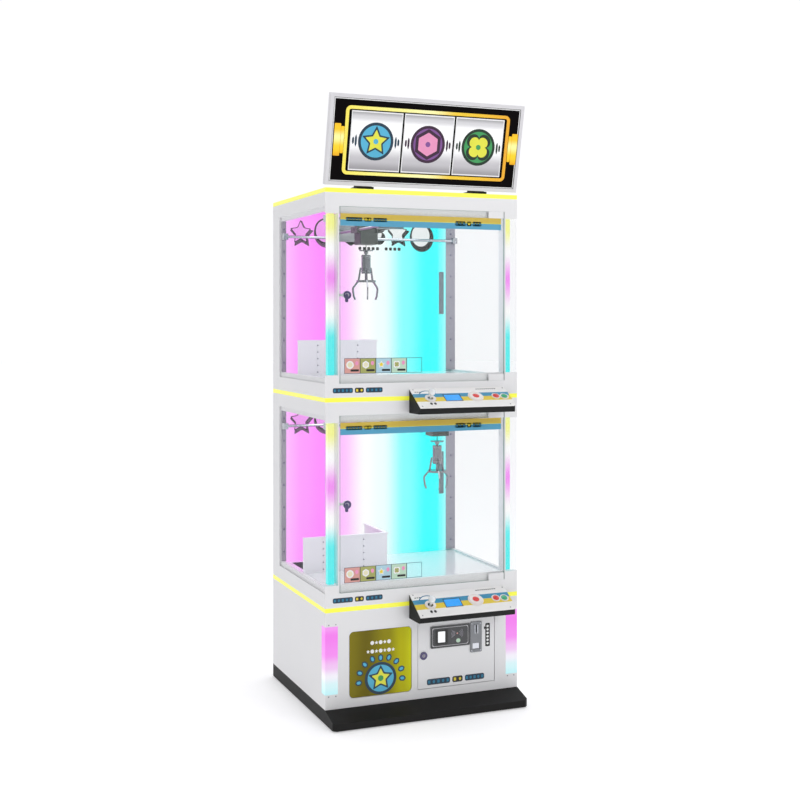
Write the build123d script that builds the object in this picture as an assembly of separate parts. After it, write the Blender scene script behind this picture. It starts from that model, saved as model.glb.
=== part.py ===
"""Double-deck prize crane machine: every piece as its own solid, one STEP file per node.

The pieces are drawn in the cabinet's own place: x is measured from the centre line, y back from
the cabinet's front face and z up from the floor. Heights inside a tier are measured from the
bottom of the coloured strip that it stands on. save() moves the whole to the part's origin,
which is the bottom centre of the box around the machine. All sizes are in millimetres.
"""

import os
from dataclasses import dataclass
from math import atan2, cos, degrees, hypot, sin

from build123d import *

# Cabinet
WIDTH = 800.0
DEPTH = 684.0
CONSOLE_REACH = 112.0
PLINTH_TOP = 56.0
BASE_TOP = 416.5
STRIP = 16.5
TIER_PITCH = 783.5
HALF = WIDTH / 2
TOP = BASE_TOP + 2 * TIER_PITCH + STRIP

# Clearances
GAP = 0.3
RUNNING = 0.05

# Plinth and feet
TONGUE_REACH = 95.0
TONGUE_LIP = 30.0
PLINTH_WALL = 4.0
PLINTH_GAP = 4.0
PLINTH_CORNER = 12.0
FOOT_RADIUS = 24.0
FOOT_HEIGHT = 8.0
FOOT_STEM_RADIUS = 6.0
FOOT_INSET = 60.0

# Base cabinet
PANEL = 12.0
REAR_SILL_TOP = 104.0
PARTITION_X = -45.0
PARTITION_DEPTH = DEPTH - 84.0
LIGHT_LEG_FRONT = 50.0
LIGHT_LEG_SIDE = 41.0
LIGHT_THICK = 6.0
BASE_LIGHT_Z = (111.0, 364.0)
PRIZE_DOOR_X = (-305.0, -51.0)
PRIZE_DOOR_Z = (88.0, 338.0)
PRIZE_DOOR_RADIUS = 18.0
COIN_DOOR_X = (-27.0, 302.0)
COIN_DOOR_Z = (90.0, 347.0)

# Doors in the base
DOOR_GAP = 2.0
FLAP_THICK = 4.0
FLAP_SETBACK = 2.0
FLAP_AXIS_Y = PANEL + 6.0
FLAP_AXIS_RISE = 4.0
FLAP_ROD_RADIUS = 3.0
FLAP_EAR = 8.0
COIN_LEAF = 3.0
COIN_SETBACK = 1.0
COIN_PIN_INSET = 6.5
COIN_BARREL_RADIUS = 3.0
COIN_PIN_RADIUS = 2.0
LOCK_X = -3.0
LOCK_Z = 219.0
LOCK_RADIUS = 15.0
LOCK_BODY = 12.0
LOCK_PROUD = 4.0
LOCK_DEEP = 20.0
LOCK_CAM = 3.0
KEY_SLOT = (1.0, 4.0)
REAR_DOOR_INSET = 2.0
REAR_PIN_RADIUS = 3.0
REAR_PIN_REACH = 8.0
DOOR_VENTS = (5, 120.0, 60.0)
COVER_VENTS = (6, 130.0, TIER_PITCH - 143.5)
VENT_PITCH = 14.0
VENT_HEIGHT = 6.0

# Card reader and coin mechanism on the coin door
READER_X = (27.0, 192.0)
READER_Z = (243.0, 326.0)
READER_PROUD = 5.0
READER_DEEP = 36.0
MECH_X = (195.0, 244.0)
MECH_Z = (212.0, 330.0)
MECH_PROUD = 4.0
MECH_DEEP = 60.0
FLANGE_LAP = 6.0
FLANGE_CORNER = 4.0
READER_WINDOW_DEPTH = 2.0
SLOT_WIDTH = 4.0
SLOT_HEIGHT = 28.0
RETURN_SIZE = (30.0, 24.0)
RETURN_THICK = 2.0
RETURN_BARREL_RADIUS = 1.5

# Things inside the base
SHEET = 2.0
BIN_DEPTH = 262.0
RAMP_TOP = 300.0
CHEEK_GAP = 4.5
CASH_BOX = ((60.0, 220.0), (50.0, 230.0), 122.0)
SUPPLY = ((200.0, 340.0), (DEPTH - 264.0, DEPTH - 104.0), 62.0)
BOARD_Y = (DEPTH - 384.0, DEPTH - 184.0)
BOARD_Z = (150.0, 320.0)
BOARD_THICK = 1.6
BOARD_PARTS = 3
BOARD_PART_PITCH = 60.0
BOARD_PART_SIZE = (14.0, 36.0, 30.0)
STANDOFF = 8.0
STANDOFF_RADIUS = 3.0
INLET_X = (240.0, 288.0)
INLET_Z = (76.0, 98.0)
INLET_DEEP = 24.0
INLET_RIM = (6.0, 4.0)
INLET_PIN_SPACING = 9.0
INLET_PIN_HALF = (1.0, 2.0)
INLET_PIN_SETBACK = 3.0

# Tier frame, heights above the tier's strip bottom
FACE = 20.0
SKIN = 6.0
RAIL = 14.0
LEAF_LOW = 69.0
LEAF_HIGH = TIER_PITCH - 51.0
OPENING = (100.0, LEAF_HIGH - 26.5)
REBATE = 11.0
JAMB_INSET = 55.0
JAMB_X = HALF - JAMB_INSET
JAMB_WEB = 4.0
BAR_SIZE = 24.0
BAR_OUTER = JAMB_X + 36.0
BAR_FRONT = 24.0
PANE_Z = (70.0, LEAF_HIGH)
WINDOW_Z = (90.0, LEAF_HIGH - 17.5)
PANE_Y = (5.5, DEPTH - 94.0)
PANE_THICK = 5.5
COVER_X = JAMB_X + JAMB_WEB + 0.5
COVER_THICK = 3.0
ROOF_THICK = 15.0
FLOOR_TOP = 83.5
FLOOR_THICK = 15.0
LEDGE = 20.0
LEDGE_THICK = 12.0
CENTRE_LEDGE_X = (-30.0, -10.0)
BACK_POST_Y = DEPTH - 98.0
BULKHEAD_Y = DEPTH - 92.0
BULKHEAD_THICK = 6.0
REAR_FRAME_Y = DEPTH - 7.0
REAR_COVER_THICK = 4.0
REAR_SILL_DEEP = 16.0
REAR_SILL_RISE = 34.0

# Back light and its corner strips
LIGHT_PANEL_X = (24.0 - HALF, HALF - 48.0)
LIGHT_PANEL_THICK = 11.7
STRIP_FRONT = BACK_POST_Y - 12.0

# Chute holes and guards
HOLE_LEFT = 4.0 + LEDGE + SKIN + RAIL - HALF
HOLE_FRONT_GAP = 14.0
GUARD_SHEET = 6.0
GUARD_TOP = 225.0
GUARD_LIP = 14.0
GUARD_LIP_THICK = 6.0

# Gantry
RAIL_RADIUS = 6.0
FRONT_RAIL = (BAR_FRONT + BAR_SIZE + JAMB_WEB + 14.0, LEAF_HIGH - 42.5)
REAR_RAIL = (STRIP_FRONT - 12.0, LEAF_HIGH - 81.5)
FRONT_RAIL_HALF = BAR_OUTER - 15.0
REAR_RAIL_HALF = HALF - 26.0
RAIL_BRACKET = 13.0
CARRIAGE_HALF = 52.0
ROD_RADIUS = 5.0
ROD_SPACING = 42.0
ROD_Z = REAR_RAIL[1] + 18.0
FRONT_CARRIAGE_Y = (FRONT_RAIL[0] - 10.0, FRONT_RAIL[0] + 14.0)
FRONT_CARRIAGE_Z = (ROD_Z - 11.0, FRONT_RAIL[1] + 12.0)
REAR_CARRIAGE_Y = (REAR_RAIL[0] - 14.0, REAR_RAIL[0] + 10.0)
REAR_CARRIAGE_Z = (REAR_RAIL[1] - 15.0, ROD_Z + 11.0)
DRIVE_MOTOR = (22.0, 46.0)
TROLLEY_HALF = 38.0
TROLLEY_BLOCK = 20.0
TROLLEY_PLATE_Z = (ROD_Z + 11.0, ROD_Z + 14.0)
MOTOR_BOX_HALF = 37.5
MOTOR_BOX_CORNER = 4.0
MOTOR_BOX_Z = (ROD_Z - 58.0, ROD_Z - 11.0)
WINCH_RADIUS = 14.0

# Claw
CORD_RADIUS = 1.5
CAN_RADIUS = 18.5
CAN_EDGE = 2.0
CLAW_PLATE_Z = MOTOR_BOX_Z[0] - 22.0
CLAW_PLATE_RADIUS = 27.5
CLAW_PLATE_THICK = 4.0
CAN_Z = (CLAW_PLATE_Z - 95.0, CLAW_PLATE_Z - 19.0)
SHAFT_RADIUS = 5.0
HUB_Z = (CAN_Z[0] - 35.0, CAN_Z[0] - 27.0)
HUB_RADIUS = CAN_RADIUS + 20.5
ARM_PIVOT = (CAN_RADIUS + 14.5, (HUB_Z[0] + HUB_Z[1]) / 2)
ARM_PIN_RADIUS = 1.5
ARM_BOSS_RADIUS = 5.0
ARM_BAR = (5.0, 6.0)
ARM_SLOT = 5.6
ARM_SLOT_INNER = ARM_PIVOT[0] - 9.0
# Points of a prong from its lever to its tip, out from the pin and up from it
ARM_ROUTE = ((-9.0, 53.0), (0.0, 3.0), (24.0, -26.0), (25.0, -35.0), (21.0, -61.0), (16.0, -72.0))
ARM_ANGLES = (16.0, 136.0, 256.0)

# Glass doors
GLASS_X = (5.0 - JAMB_X, JAMB_X - 2.0)
GLASS_Y = (1.5, 7.5)
GLASS_PIVOT = (JAMB_X - 7.0, (GLASS_Y[0] + GLASS_Y[1]) / 2)
PIVOT_RADIUS = 3.0
PIVOT_DEEP = 10.0
PATCH_X = (GLASS_X[1] - 68.0, GLASS_X[1] - 2.0)
PATCH_HEIGHT = 26.0
PATCH_PLATE = 2.0
PATCH_CORE_X = GLASS_X[1] - 15.0
DOOR_LOCK = (GLASS_X[0] + 25.0, 400.0)
DOOR_LOCK_RADIUS = 15.5
DOOR_LOCK_BODY = 10.5
DOOR_LOCK_NUT = (13.5, 3.0)
DOOR_LOCK_PROUD = 8.0
DOOR_LOCK_BACK = 7.0
DOOR_LOCK_CAM = (2.0, 5.0)
DOOR_LOCK_TAB = (6.0, 2.0, 26.0, 5.0)

# Consoles
CONSOLE_X = (-62.0, 340.0)
CONSOLE_BACK = (-48.5, 45.0)
CONSOLE_LIP = ((-112.0, -22.0), (-98.0, -47.5))
CONSOLE_WALL = 3.0
CONSOLE_CORNER = 16.0
DECK = 3.0
JOYSTICK_AT = (0.0, 70.0)
SCREEN_AT = (95.0, 67.5)
SCREEN_SIZE = (65.0, 38.0)
SCREEN_THICK = 4.0
DROP_BUTTON = ("drop_button", 192.0, 65.0, 26.0)
RED_BUTTON = ("red_button", 278.0, 66.0, 12.5)
GREEN_BUTTON = ("green_button", 313.0, 69.0, 12.5)
BUTTONS = (DROP_BUTTON, RED_BUTTON, GREEN_BUTTON)
BUTTON_SLEEVE = 2.0
BUTTON_FLANGE = 3.0
BUTTON_RING = 2.5
BUTTON_DEEP = 15.0
BUTTON_CAP = (-8.0, 5.0)
BUTTON_EDGE = 2.0

# Joystick, measured from its pivot below the deck
STICK_PIVOT = 18.0
STICK_HOLE = 11.0
STICK_BEZEL = 22.0
STICK_BEZEL_THICK = 3.0
HOUSING_OUTER = 44.0
HOUSING_WALL = 4.0
HOUSING_DEEP = 30.0
GIMBAL_X = 14.0
GIMBAL_Y = 12.0
GIMBAL_INNER_X = 9.5
GIMBAL_INNER_Y = 8.0
GIMBAL_HEIGHT = 8.0
GIMBAL_PIN = 2.0
STICK_RADIUS = 4.0
STICK_TAIL = 10.0
BALL_RADIUS = 14.0
BALL_RISE = 30.0

# Marquee
MARQUEE_BOTTOM = (7.0, 11.0)
MARQUEE_TOP = (-68.0, 341.0)
MARQUEE_THICK = 25.0
MARQUEE_SIDE = 1.0
MARQUEE_RIM = 14.0
MARQUEE_RECESS = 6.0
MARQUEE_BACK = 4.0
FACE_THICK = 3.0
BRACKET_X = 237.0
BRACKET_WIDTH = 68.0
BRACKET_FOOT = 10.0
BRACKET_Y = (10.0, 90.0)
BRACKET_REACH = 140.0
BRACKET_PLATE = 7.0


@dataclass(frozen=True)
class Tier:
    """One deck of the machine: where it stands and where its claw and its chute are."""

    name: str
    base: float
    claw_x: float
    claw_y: float
    guard_x: float
    guard_y: float
    hole_side_gap: float
    hole_back_gap: float

    def z(self, low, high):
        """Two heights above the tier's strip bottom, as heights above the floor."""
        return (self.base + low, self.base + high)

    @property
    def hole(self):
        """The prize hole that the tier's guard encloses, as its x and y spans."""
        x = (HOLE_LEFT, self.guard_x - self.hole_side_gap)
        return x, (self.guard_y + HOLE_FRONT_GAP, BACK_POST_Y - self.hole_back_gap)


LOWER = Tier(
    name="lower",
    base=BASE_TOP,
    claw_x=205.0,
    claw_y=340.0,
    guard_x=-23.0,
    guard_y=328.0,
    hole_side_gap=27.0,
    hole_back_gap=24.0,
)
UPPER = Tier(
    name="upper",
    base=BASE_TOP + TIER_PITCH,
    claw_x=-114.0,
    claw_y=330.0,
    guard_x=-42.0,
    guard_y=398.0,
    hole_side_gap=24.0,
    hole_back_gap=44.0,
)
TIERS = (LOWER, UPPER)


def block(x, y, z):
    """A box between two x, two y and two z."""
    size = [high - low for low, high in (x, y, z)]
    centre = [(low + high) / 2 for low, high in (x, y, z)]
    return Pos(*centre) * Box(*size)


def grow(span, amount):
    """A span made longer by an amount at both ends, or shorter by a negative one."""
    return (span[0] - amount, span[1] + amount)


def both_sides(inner, outer):
    """The x span between two distances from the centre line, on the left and on the right."""
    return ((-outer, -inner), (inner, outer))


def rod(start, end, radius):
    """A round bar between two points."""
    line = Vector(*end) - Vector(*start)
    return extrude(Plane(origin=start, z_dir=line) * Circle(radius), amount=line.length)


def ring(start, end, outer, inner):
    """A tube between two points."""
    line = Vector(*end) - Vector(*start)
    section = Circle(outer) - Circle(inner)
    return extrude(Plane(origin=start, z_dir=line) * section, amount=line.length)


def prism(points, x):
    """A bar along x whose section is an outline of (y, z) points."""
    section = make_face(Polyline(*[(x[0], y, z) for y, z in points], close=True))
    return extrude(section, amount=x[1] - x[0], dir=(1, 0, 0))


def plate_with_hole(x, y, z, hole):
    """A level plate with a rectangular hole."""
    return block(x, y, z) - block(hole[0], hole[1], grow(z, 1))


def duct(hole, z):
    """Four sheet walls that line a rectangular hole."""
    x, y = grow(hole[0], -GAP), grow(hole[1], -GAP)
    return [
        block(x, (y[0], y[0] + SHEET), z),
        block(x, (y[1] - SHEET, y[1]), z),
        block((x[0], x[0] + SHEET), grow(y, -SHEET), z),
        block((x[1] - SHEET, x[1]), grow(y, -SHEET), z),
    ]


def save(name, shapes):
    """Moves the solids of a node to the part's origin and writes them."""
    shift = Pos(0, CONSOLE_REACH - (DEPTH + CONSOLE_REACH) / 2, 0)
    solids = [shift * solid for shape in shapes for solid in shape.solids()]
    export_step(Compound(children=solids), f"parts/{name}.step")


# ---------------------------------------------------------------- plinth and base cabinet


def plinth():
    """The weighted tray that the cabinet stands on, with a sloping tongue to the front."""
    outline = [
        (-TONGUE_REACH, PLINTH_GAP),
        (DEPTH, PLINTH_GAP),
        (DEPTH, PLINTH_TOP),
        (0, PLINTH_TOP),
        (-TONGUE_REACH, TONGUE_LIP),
    ]
    tray = prism(outline, (-HALF, HALF))
    corners = tray.edges().filter_by(Axis.Z).group_by(Axis.Y)[0]
    tray = chamfer(corners, PLINTH_CORNER)
    inner = [
        (-TONGUE_REACH + PLINTH_CORNER, 0),
        (DEPTH - PLINTH_WALL, 0),
        (DEPTH - PLINTH_WALL, PLINTH_TOP - PLINTH_WALL),
        (0, PLINTH_TOP - PLINTH_WALL),
        (-TONGUE_REACH + PLINTH_CORNER, TONGUE_LIP - PLINTH_WALL),
    ]
    return [tray - prism(inner, grow((-HALF, HALF), -PLINTH_WALL))]


def levelling_feet():
    """Four screw feet under the tray."""
    feet = []
    for x in (FOOT_INSET - HALF, HALF - FOOT_INSET):
        for y in (FOOT_INSET, DEPTH - FOOT_INSET):
            pad = rod((x, y, 0), (x, y, FOOT_HEIGHT), FOOT_RADIUS)
            pad = chamfer(pad.edges().group_by(Axis.Z)[-1], FOOT_HEIGHT / 4)
            stem = rod((x, y, FOOT_HEIGHT), (x, y, PLINTH_TOP - PLINTH_WALL), FOOT_STEM_RADIUS)
            feet.append(pad + stem)
    return feet


def base_shell():
    """Side panels, boards, rear sill and the partition between the prize bin and the coin side."""
    inside = HALF - PANEL
    walls = []
    for x in both_sides(inside, HALF):
        niche = block(grow(x, 1), (0, LIGHT_LEG_SIDE), BASE_LIGHT_Z)
        walls.append(block(x, (PANEL, DEPTH), (PLINTH_TOP, BASE_TOP)) - niche)
    span = (-inside, inside)
    floor_z = (PLINTH_TOP, PLINTH_TOP + PANEL)
    top_z = (BASE_TOP - PANEL, BASE_TOP)
    walls.append(block(span, (PANEL, DEPTH), floor_z))
    bore_radius = REAR_PIN_RADIUS + RUNNING
    bore_low, bore_high = (rear_pin(low - 1, high + 1, bore_radius) for low, high in rear_pin_spans())
    walls.append(plate_with_hole(span, (PANEL, DEPTH), top_z, LOWER.hole) - bore_high)
    inlet = block(grow(INLET_X, GAP), (0, DEPTH + 1), grow(INLET_Z, GAP))
    walls.append(block(span, (DEPTH - PANEL, DEPTH), (floor_z[1], REAR_SILL_TOP)) - inlet - bore_low)
    partition_x = (PARTITION_X, PARTITION_X + PANEL)
    walls.append(block(partition_x, (PANEL, PARTITION_DEPTH), (floor_z[1], top_z[0])))
    return walls


def base_front():
    """The front sheet with the prize opening, the coin door opening and the flap's hinge rod."""
    sheet = block((-HALF, HALF), (0, PANEL), (PLINTH_TOP, BASE_TOP))
    for x in both_sides(HALF - LIGHT_LEG_FRONT, HALF + 1):
        sheet -= block(x, (-1, PANEL + 1), BASE_LIGHT_Z)
    opening = block(PRIZE_DOOR_X, (-1, PANEL + 1), PRIZE_DOOR_Z)
    sheet -= fillet(opening.edges().filter_by(Axis.Y), PRIZE_DOOR_RADIUS)
    sheet -= block(COIN_DOOR_X, (-1, PANEL + 1), COIN_DOOR_Z)
    for low, high in coin_pin_spans():
        sheet -= coin_pin(low, high, COIN_PIN_RADIUS + RUNNING)
    solids = [sheet]
    axis_z = PRIZE_DOOR_Z[1] + FLAP_AXIS_RISE
    rod_x = (PRIZE_DOOR_X[0] - FLAP_EAR, PRIZE_DOOR_X[1] - FLAP_EAR / 2)
    start, end = ((x, FLAP_AXIS_Y, axis_z) for x in rod_x)
    hinge_rod = rod(start, end, FLAP_ROD_RADIUS)
    for x in ((rod_x[0], rod_x[0] + FLAP_EAR), (rod_x[1] - FLAP_EAR, rod_x[1])):
        bracket_y = (PANEL, FLAP_AXIS_Y + FLAP_EAR / 2)
        bracket_z = (PRIZE_DOOR_Z[1], axis_z + FLAP_EAR)
        hinge_rod += block(x, bracket_y, bracket_z)
    solids.append(hinge_rod)
    return solids


def prize_flap():
    """The prize door: a push-in flap on two ears that turn on the hinge rod."""
    z = (PRIZE_DOOR_Z[0] + DOOR_GAP, PRIZE_DOOR_Z[1] - DOOR_GAP)
    leaf = block(grow(PRIZE_DOOR_X, -DOOR_GAP), (FLAP_SETBACK, FLAP_SETBACK + FLAP_THICK), z)
    leaf = fillet(leaf.edges().filter_by(Axis.Y), PRIZE_DOOR_RADIUS - DOOR_GAP)
    axis_z = PRIZE_DOOR_Z[1] + FLAP_AXIS_RISE
    boss_radius = FLAP_ROD_RADIUS + DOOR_GAP
    ear_bottom = z[1] - FLAP_EAR
    for x0 in (PRIZE_DOOR_X[0] + 2 * FLAP_EAR, PRIZE_DOOR_X[1] - 4 * FLAP_EAR):
        x = (x0, x0 + FLAP_EAR)
        reach = FLAP_AXIS_Y + boss_radius
        leaf += block(x, (FLAP_SETBACK + FLAP_THICK, reach), (ear_bottom, z[1]))
        leaf += block(x, (FLAP_AXIS_Y - boss_radius, reach), (ear_bottom, axis_z))
        leaf += rod((x[0], FLAP_AXIS_Y, axis_z), (x[1], FLAP_AXIS_Y, axis_z), boss_radius)
        bore_start = (x[0] - 1, FLAP_AXIS_Y, axis_z)
        leaf -= rod(bore_start, (x[1] + 1, FLAP_AXIS_Y, axis_z), FLAP_ROD_RADIUS + RUNNING)
    return [leaf]


def coin_pin_spans():
    """The heights that the coin door's two hinge pins cover, above and below the leaf."""
    leaf_z = grow(COIN_DOOR_Z, -DOOR_GAP)
    reach = DOOR_GAP + 2 * COIN_PIN_RADIUS
    return ((leaf_z[0] - reach, leaf_z[0]), (leaf_z[1], leaf_z[1] + reach))


def coin_pin(low, high, radius):
    """A pin or bore on the coin door's hinge axis."""
    x = COIN_DOOR_X[1] - COIN_PIN_INSET
    y = COIN_SETBACK + COIN_LEAF + 1
    return rod((x, y, low), (x, y, high), radius)


def coin_door():
    """The service door for the coins, with its hinge barrel, its pins and its key lock."""
    x, z = grow(COIN_DOOR_X, -DOOR_GAP), grow(COIN_DOOR_Z, -DOOR_GAP)
    leaf = block(x, (COIN_SETBACK, COIN_SETBACK + COIN_LEAF), z)
    leaf += coin_pin(z[0], z[1], COIN_BARREL_RADIUS)
    for low, high in coin_pin_spans():
        leaf += coin_pin(low, high, COIN_PIN_RADIUS)
    depth = (COIN_SETBACK - 1, COIN_SETBACK + COIN_LEAF + 1)
    leaf -= block(grow(READER_X, GAP - FLANGE_LAP), depth, grow(READER_Z, GAP - FLANGE_LAP))
    leaf -= block(grow(MECH_X, GAP - FLANGE_LAP), depth, grow(MECH_Z, GAP - FLANGE_LAP))
    back = COIN_SETBACK + COIN_LEAF
    leaf -= rod((LOCK_X, -1, LOCK_Z), (LOCK_X, back + 1, LOCK_Z), LOCK_BODY + GAP)
    front = COIN_SETBACK - LOCK_PROUD
    tail = back + LOCK_DEEP
    lock = rod((LOCK_X, front, LOCK_Z), (LOCK_X, COIN_SETBACK, LOCK_Z), LOCK_RADIUS)
    lock += rod((LOCK_X, COIN_SETBACK, LOCK_Z), (LOCK_X, tail, LOCK_Z), LOCK_BODY)
    slot_half, slot_rise = KEY_SLOT
    slot_x, slot_z = grow((LOCK_X, LOCK_X), slot_half), grow((LOCK_Z, LOCK_Z), slot_rise)
    lock -= block(slot_x, (front - 1, COIN_SETBACK), slot_z)
    cam_z = (LOCK_Z - LOCK_RADIUS / 2, LOCK_Z + 2 * LOCK_RADIUS)
    lock += block(grow((LOCK_X, LOCK_X), LOCK_RADIUS / 2), (tail, tail + LOCK_CAM), cam_z)
    return [leaf, lock]


def card_reader():
    """The cashless reader: a framed front and a body through the coin door."""
    bezel = block(READER_X, (COIN_SETBACK - READER_PROUD, COIN_SETBACK), READER_Z)
    bezel = fillet(bezel.edges().filter_by(Axis.Y), FLANGE_CORNER)
    rim = grow(READER_X, -FLANGE_LAP), grow(READER_Z, -FLANGE_LAP)
    front = COIN_SETBACK - READER_PROUD
    bezel -= block(rim[0], (front, front + READER_WINDOW_DEPTH), rim[1])
    body = block(rim[0], (COIN_SETBACK, READER_DEEP), rim[1])
    return [bezel + body]


def return_cup():
    """The x and z spans of the coin return cup in the coin mechanism's plate."""
    x0 = (MECH_X[0] + MECH_X[1] - RETURN_SIZE[0]) / 2
    z0 = MECH_Z[0] + 2 * FLANGE_LAP
    return (x0, x0 + RETURN_SIZE[0]), (z0, z0 + RETURN_SIZE[1])


def coin_mech():
    """The coin mechanism with its slot and the cup behind the return flap."""
    front = COIN_SETBACK - MECH_PROUD
    mech = block(MECH_X, (front, COIN_SETBACK), MECH_Z)
    mech = fillet(mech.edges().filter_by(Axis.Y), FLANGE_CORNER)
    rim = grow(MECH_X, -FLANGE_LAP), grow(MECH_Z, -FLANGE_LAP)
    mech += block(rim[0], (COIN_SETBACK, MECH_DEEP), rim[1])
    cup_x, cup_z = return_cup()
    mech -= block(cup_x, (front - 1, MECH_DEEP / 2), cup_z)
    slot_z = (MECH_Z[1] - 2 * FLANGE_LAP - SLOT_HEIGHT, MECH_Z[1] - 2 * FLANGE_LAP)
    middle = (MECH_X[0] + MECH_X[1]) / 2
    mech -= block(grow((middle, middle), SLOT_WIDTH / 2), (front - 1, MECH_DEEP / 2), slot_z)
    return [mech - return_pin(RUNNING)]


def return_pin(extra):
    """The coin return flap's hinge pin, or its bore with some extra radius."""
    cup_x, cup_z = return_cup()
    y = COIN_SETBACK - MECH_PROUD + 2 * RETURN_THICK
    z = cup_z[1] - RETURN_THICK
    x = grow(cup_x, RETURN_THICK)
    return rod((x[0], y, z), (x[1], y, z), RETURN_THICK / 2 + extra)


def coin_return_flap():
    """The small flap over the coin return cup, on a pin at its top edge."""
    cup_x, cup_z = return_cup()
    y0 = COIN_SETBACK - MECH_PROUD + 1.5 * RETURN_THICK
    leaf_z = (cup_z[0] + 1, cup_z[1] - RETURN_THICK)
    leaf = block(grow(cup_x, -2 * GAP), (y0, y0 + RETURN_THICK / 2), leaf_z)
    barrel_y = COIN_SETBACK - MECH_PROUD + 2 * RETURN_THICK
    barrel_z = cup_z[1] - RETURN_THICK
    barrel_x = grow(cup_x, -2 * GAP)
    barrel_ends = ((x, barrel_y, barrel_z) for x in barrel_x)
    leaf += rod(*barrel_ends, RETURN_BARREL_RADIUS)
    return [leaf + return_pin(0)]


def prize_chute():
    """The sheet-metal prize way: both ducts, the sloping slide and the bin behind the flap."""
    (left, right), hole_y = LOWER.hole
    x = (left + GAP, right - GAP)
    back = hole_y[1] - GAP
    floor = PLINTH_TOP + PANEL
    cheek_top = BASE_TOP - PANEL - CHEEK_GAP
    solids = duct(LOWER.hole, (cheek_top, LOWER.base + FLOOR_TOP))
    inner = grow(x, -SHEET)
    front = PANEL + DOOR_GAP
    for cheek in ((x[0], inner[0]), (inner[1], x[1])):
        solids.append(block(cheek, (front, back), (floor, cheek_top)))
    angle = atan2(RAMP_TOP - floor, back - SHEET - BIN_DEPTH)
    lift = SHEET / cos(angle)
    slide = [
        (front, floor),
        (BIN_DEPTH, floor),
        (back - SHEET, RAMP_TOP),
        (back - SHEET, RAMP_TOP + lift),
        (BIN_DEPTH - SHEET * sin(angle) / (1 + cos(angle)), floor + SHEET),
        (front, floor + SHEET),
    ]
    solids.append(prism(slide, inner))
    solids.append(block(inner, (back - SHEET, back), (RAMP_TOP, cheek_top)))
    solids += duct(UPPER.hole, (UPPER.base - ROOF_THICK, UPPER.base + FLOOR_TOP))
    return solids


def cash_box():
    """The open coin box under the coin mechanism."""
    x, y, height = CASH_BOX
    floor = PLINTH_TOP + PANEL
    box = block(x, y, (floor, floor + height))
    return [box - block(grow(x, -SHEET), grow(y, -SHEET), (floor + SHEET, floor + height + 1))]


def power_unit():
    """The power supply, the control board on its standoffs and the mains inlet at the back."""
    x, y, height = SUPPLY
    floor = PLINTH_TOP + PANEL
    solids = [block(x, y, (floor, floor + height))]
    face = PARTITION_X + PANEL
    board_x = (face + STANDOFF, face + STANDOFF + BOARD_THICK)
    board = block(board_x, BOARD_Y, BOARD_Z)
    proud, deep, high = BOARD_PART_SIZE
    part_z = (BOARD_Z[0] + high, BOARD_Z[0] + 2 * high)
    for number in range(BOARD_PARTS):
        part_y = BOARD_Y[0] + high + number * BOARD_PART_PITCH
        board += block((board_x[1], board_x[1] + proud), (part_y, part_y + deep), part_z)
    for y0 in grow(BOARD_Y, -STANDOFF):
        for z0 in grow(BOARD_Z, -STANDOFF):
            board += rod((face, y0, z0), (board_x[0], y0, z0), STANDOFF_RADIUS)
    solids.append(board)
    inlet = block(INLET_X, (DEPTH - INLET_DEEP, DEPTH), INLET_Z)
    rim_x, rim_z = INLET_RIM
    socket_back = DEPTH - INLET_DEEP / 2
    inlet -= block(grow(INLET_X, -rim_x), (socket_back, DEPTH + 1), grow(INLET_Z, -rim_z))
    middle_x, middle_z = sum(INLET_X) / 2, sum(INLET_Z) / 2
    half_x, half_z = INLET_PIN_HALF
    for x0 in (middle_x - INLET_PIN_SPACING, middle_x, middle_x + INLET_PIN_SPACING):
        pin_y = (socket_back, DEPTH - INLET_PIN_SETBACK)
        inlet += block(grow((x0, x0), half_x), pin_y, grow((middle_z, middle_z), half_z))
    solids.append(inlet)
    return solids


def rear_door():
    """The service door at the back of the base, on pins in the sill and the top board."""
    inside = HALF - PANEL
    z = rear_door_z()
    leaf = block(grow((-inside, inside), -REAR_DOOR_INSET), (DEPTH - PANEL, DEPTH - 1), z)
    rows, vent_half, drop = DOOR_VENTS
    for row in range(rows):
        vent_z = z[1] - drop - VENT_PITCH * row
        vent_y = (DEPTH - PANEL - 1, DEPTH)
        leaf -= block((-vent_half, vent_half), vent_y, (vent_z, vent_z + VENT_HEIGHT))
    for low, high in rear_pin_spans():
        leaf += rear_pin(low, high, REAR_PIN_RADIUS)
    return [leaf]


def rear_door_z():
    """The heights of the rear door's leaf."""
    return (REAR_SILL_TOP + REAR_DOOR_INSET, BASE_TOP - PANEL - REAR_DOOR_INSET)


def rear_pin_spans():
    """The heights that the rear door's two hinge pins cover, below and above the leaf."""
    low, high = rear_door_z()
    return ((low - REAR_PIN_REACH, low), (high, high + REAR_PIN_REACH))


def rear_pin(low, high, radius):
    """A pin or bore on the rear door's hinge axis."""
    x = HALF - PANEL - REAR_DOOR_INSET - 2 * REAR_PIN_RADIUS
    y = DEPTH - PANEL / 2
    return rod((x, y, low), (x, y, high), radius)


# ---------------------------------------------------------------- tiers


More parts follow.
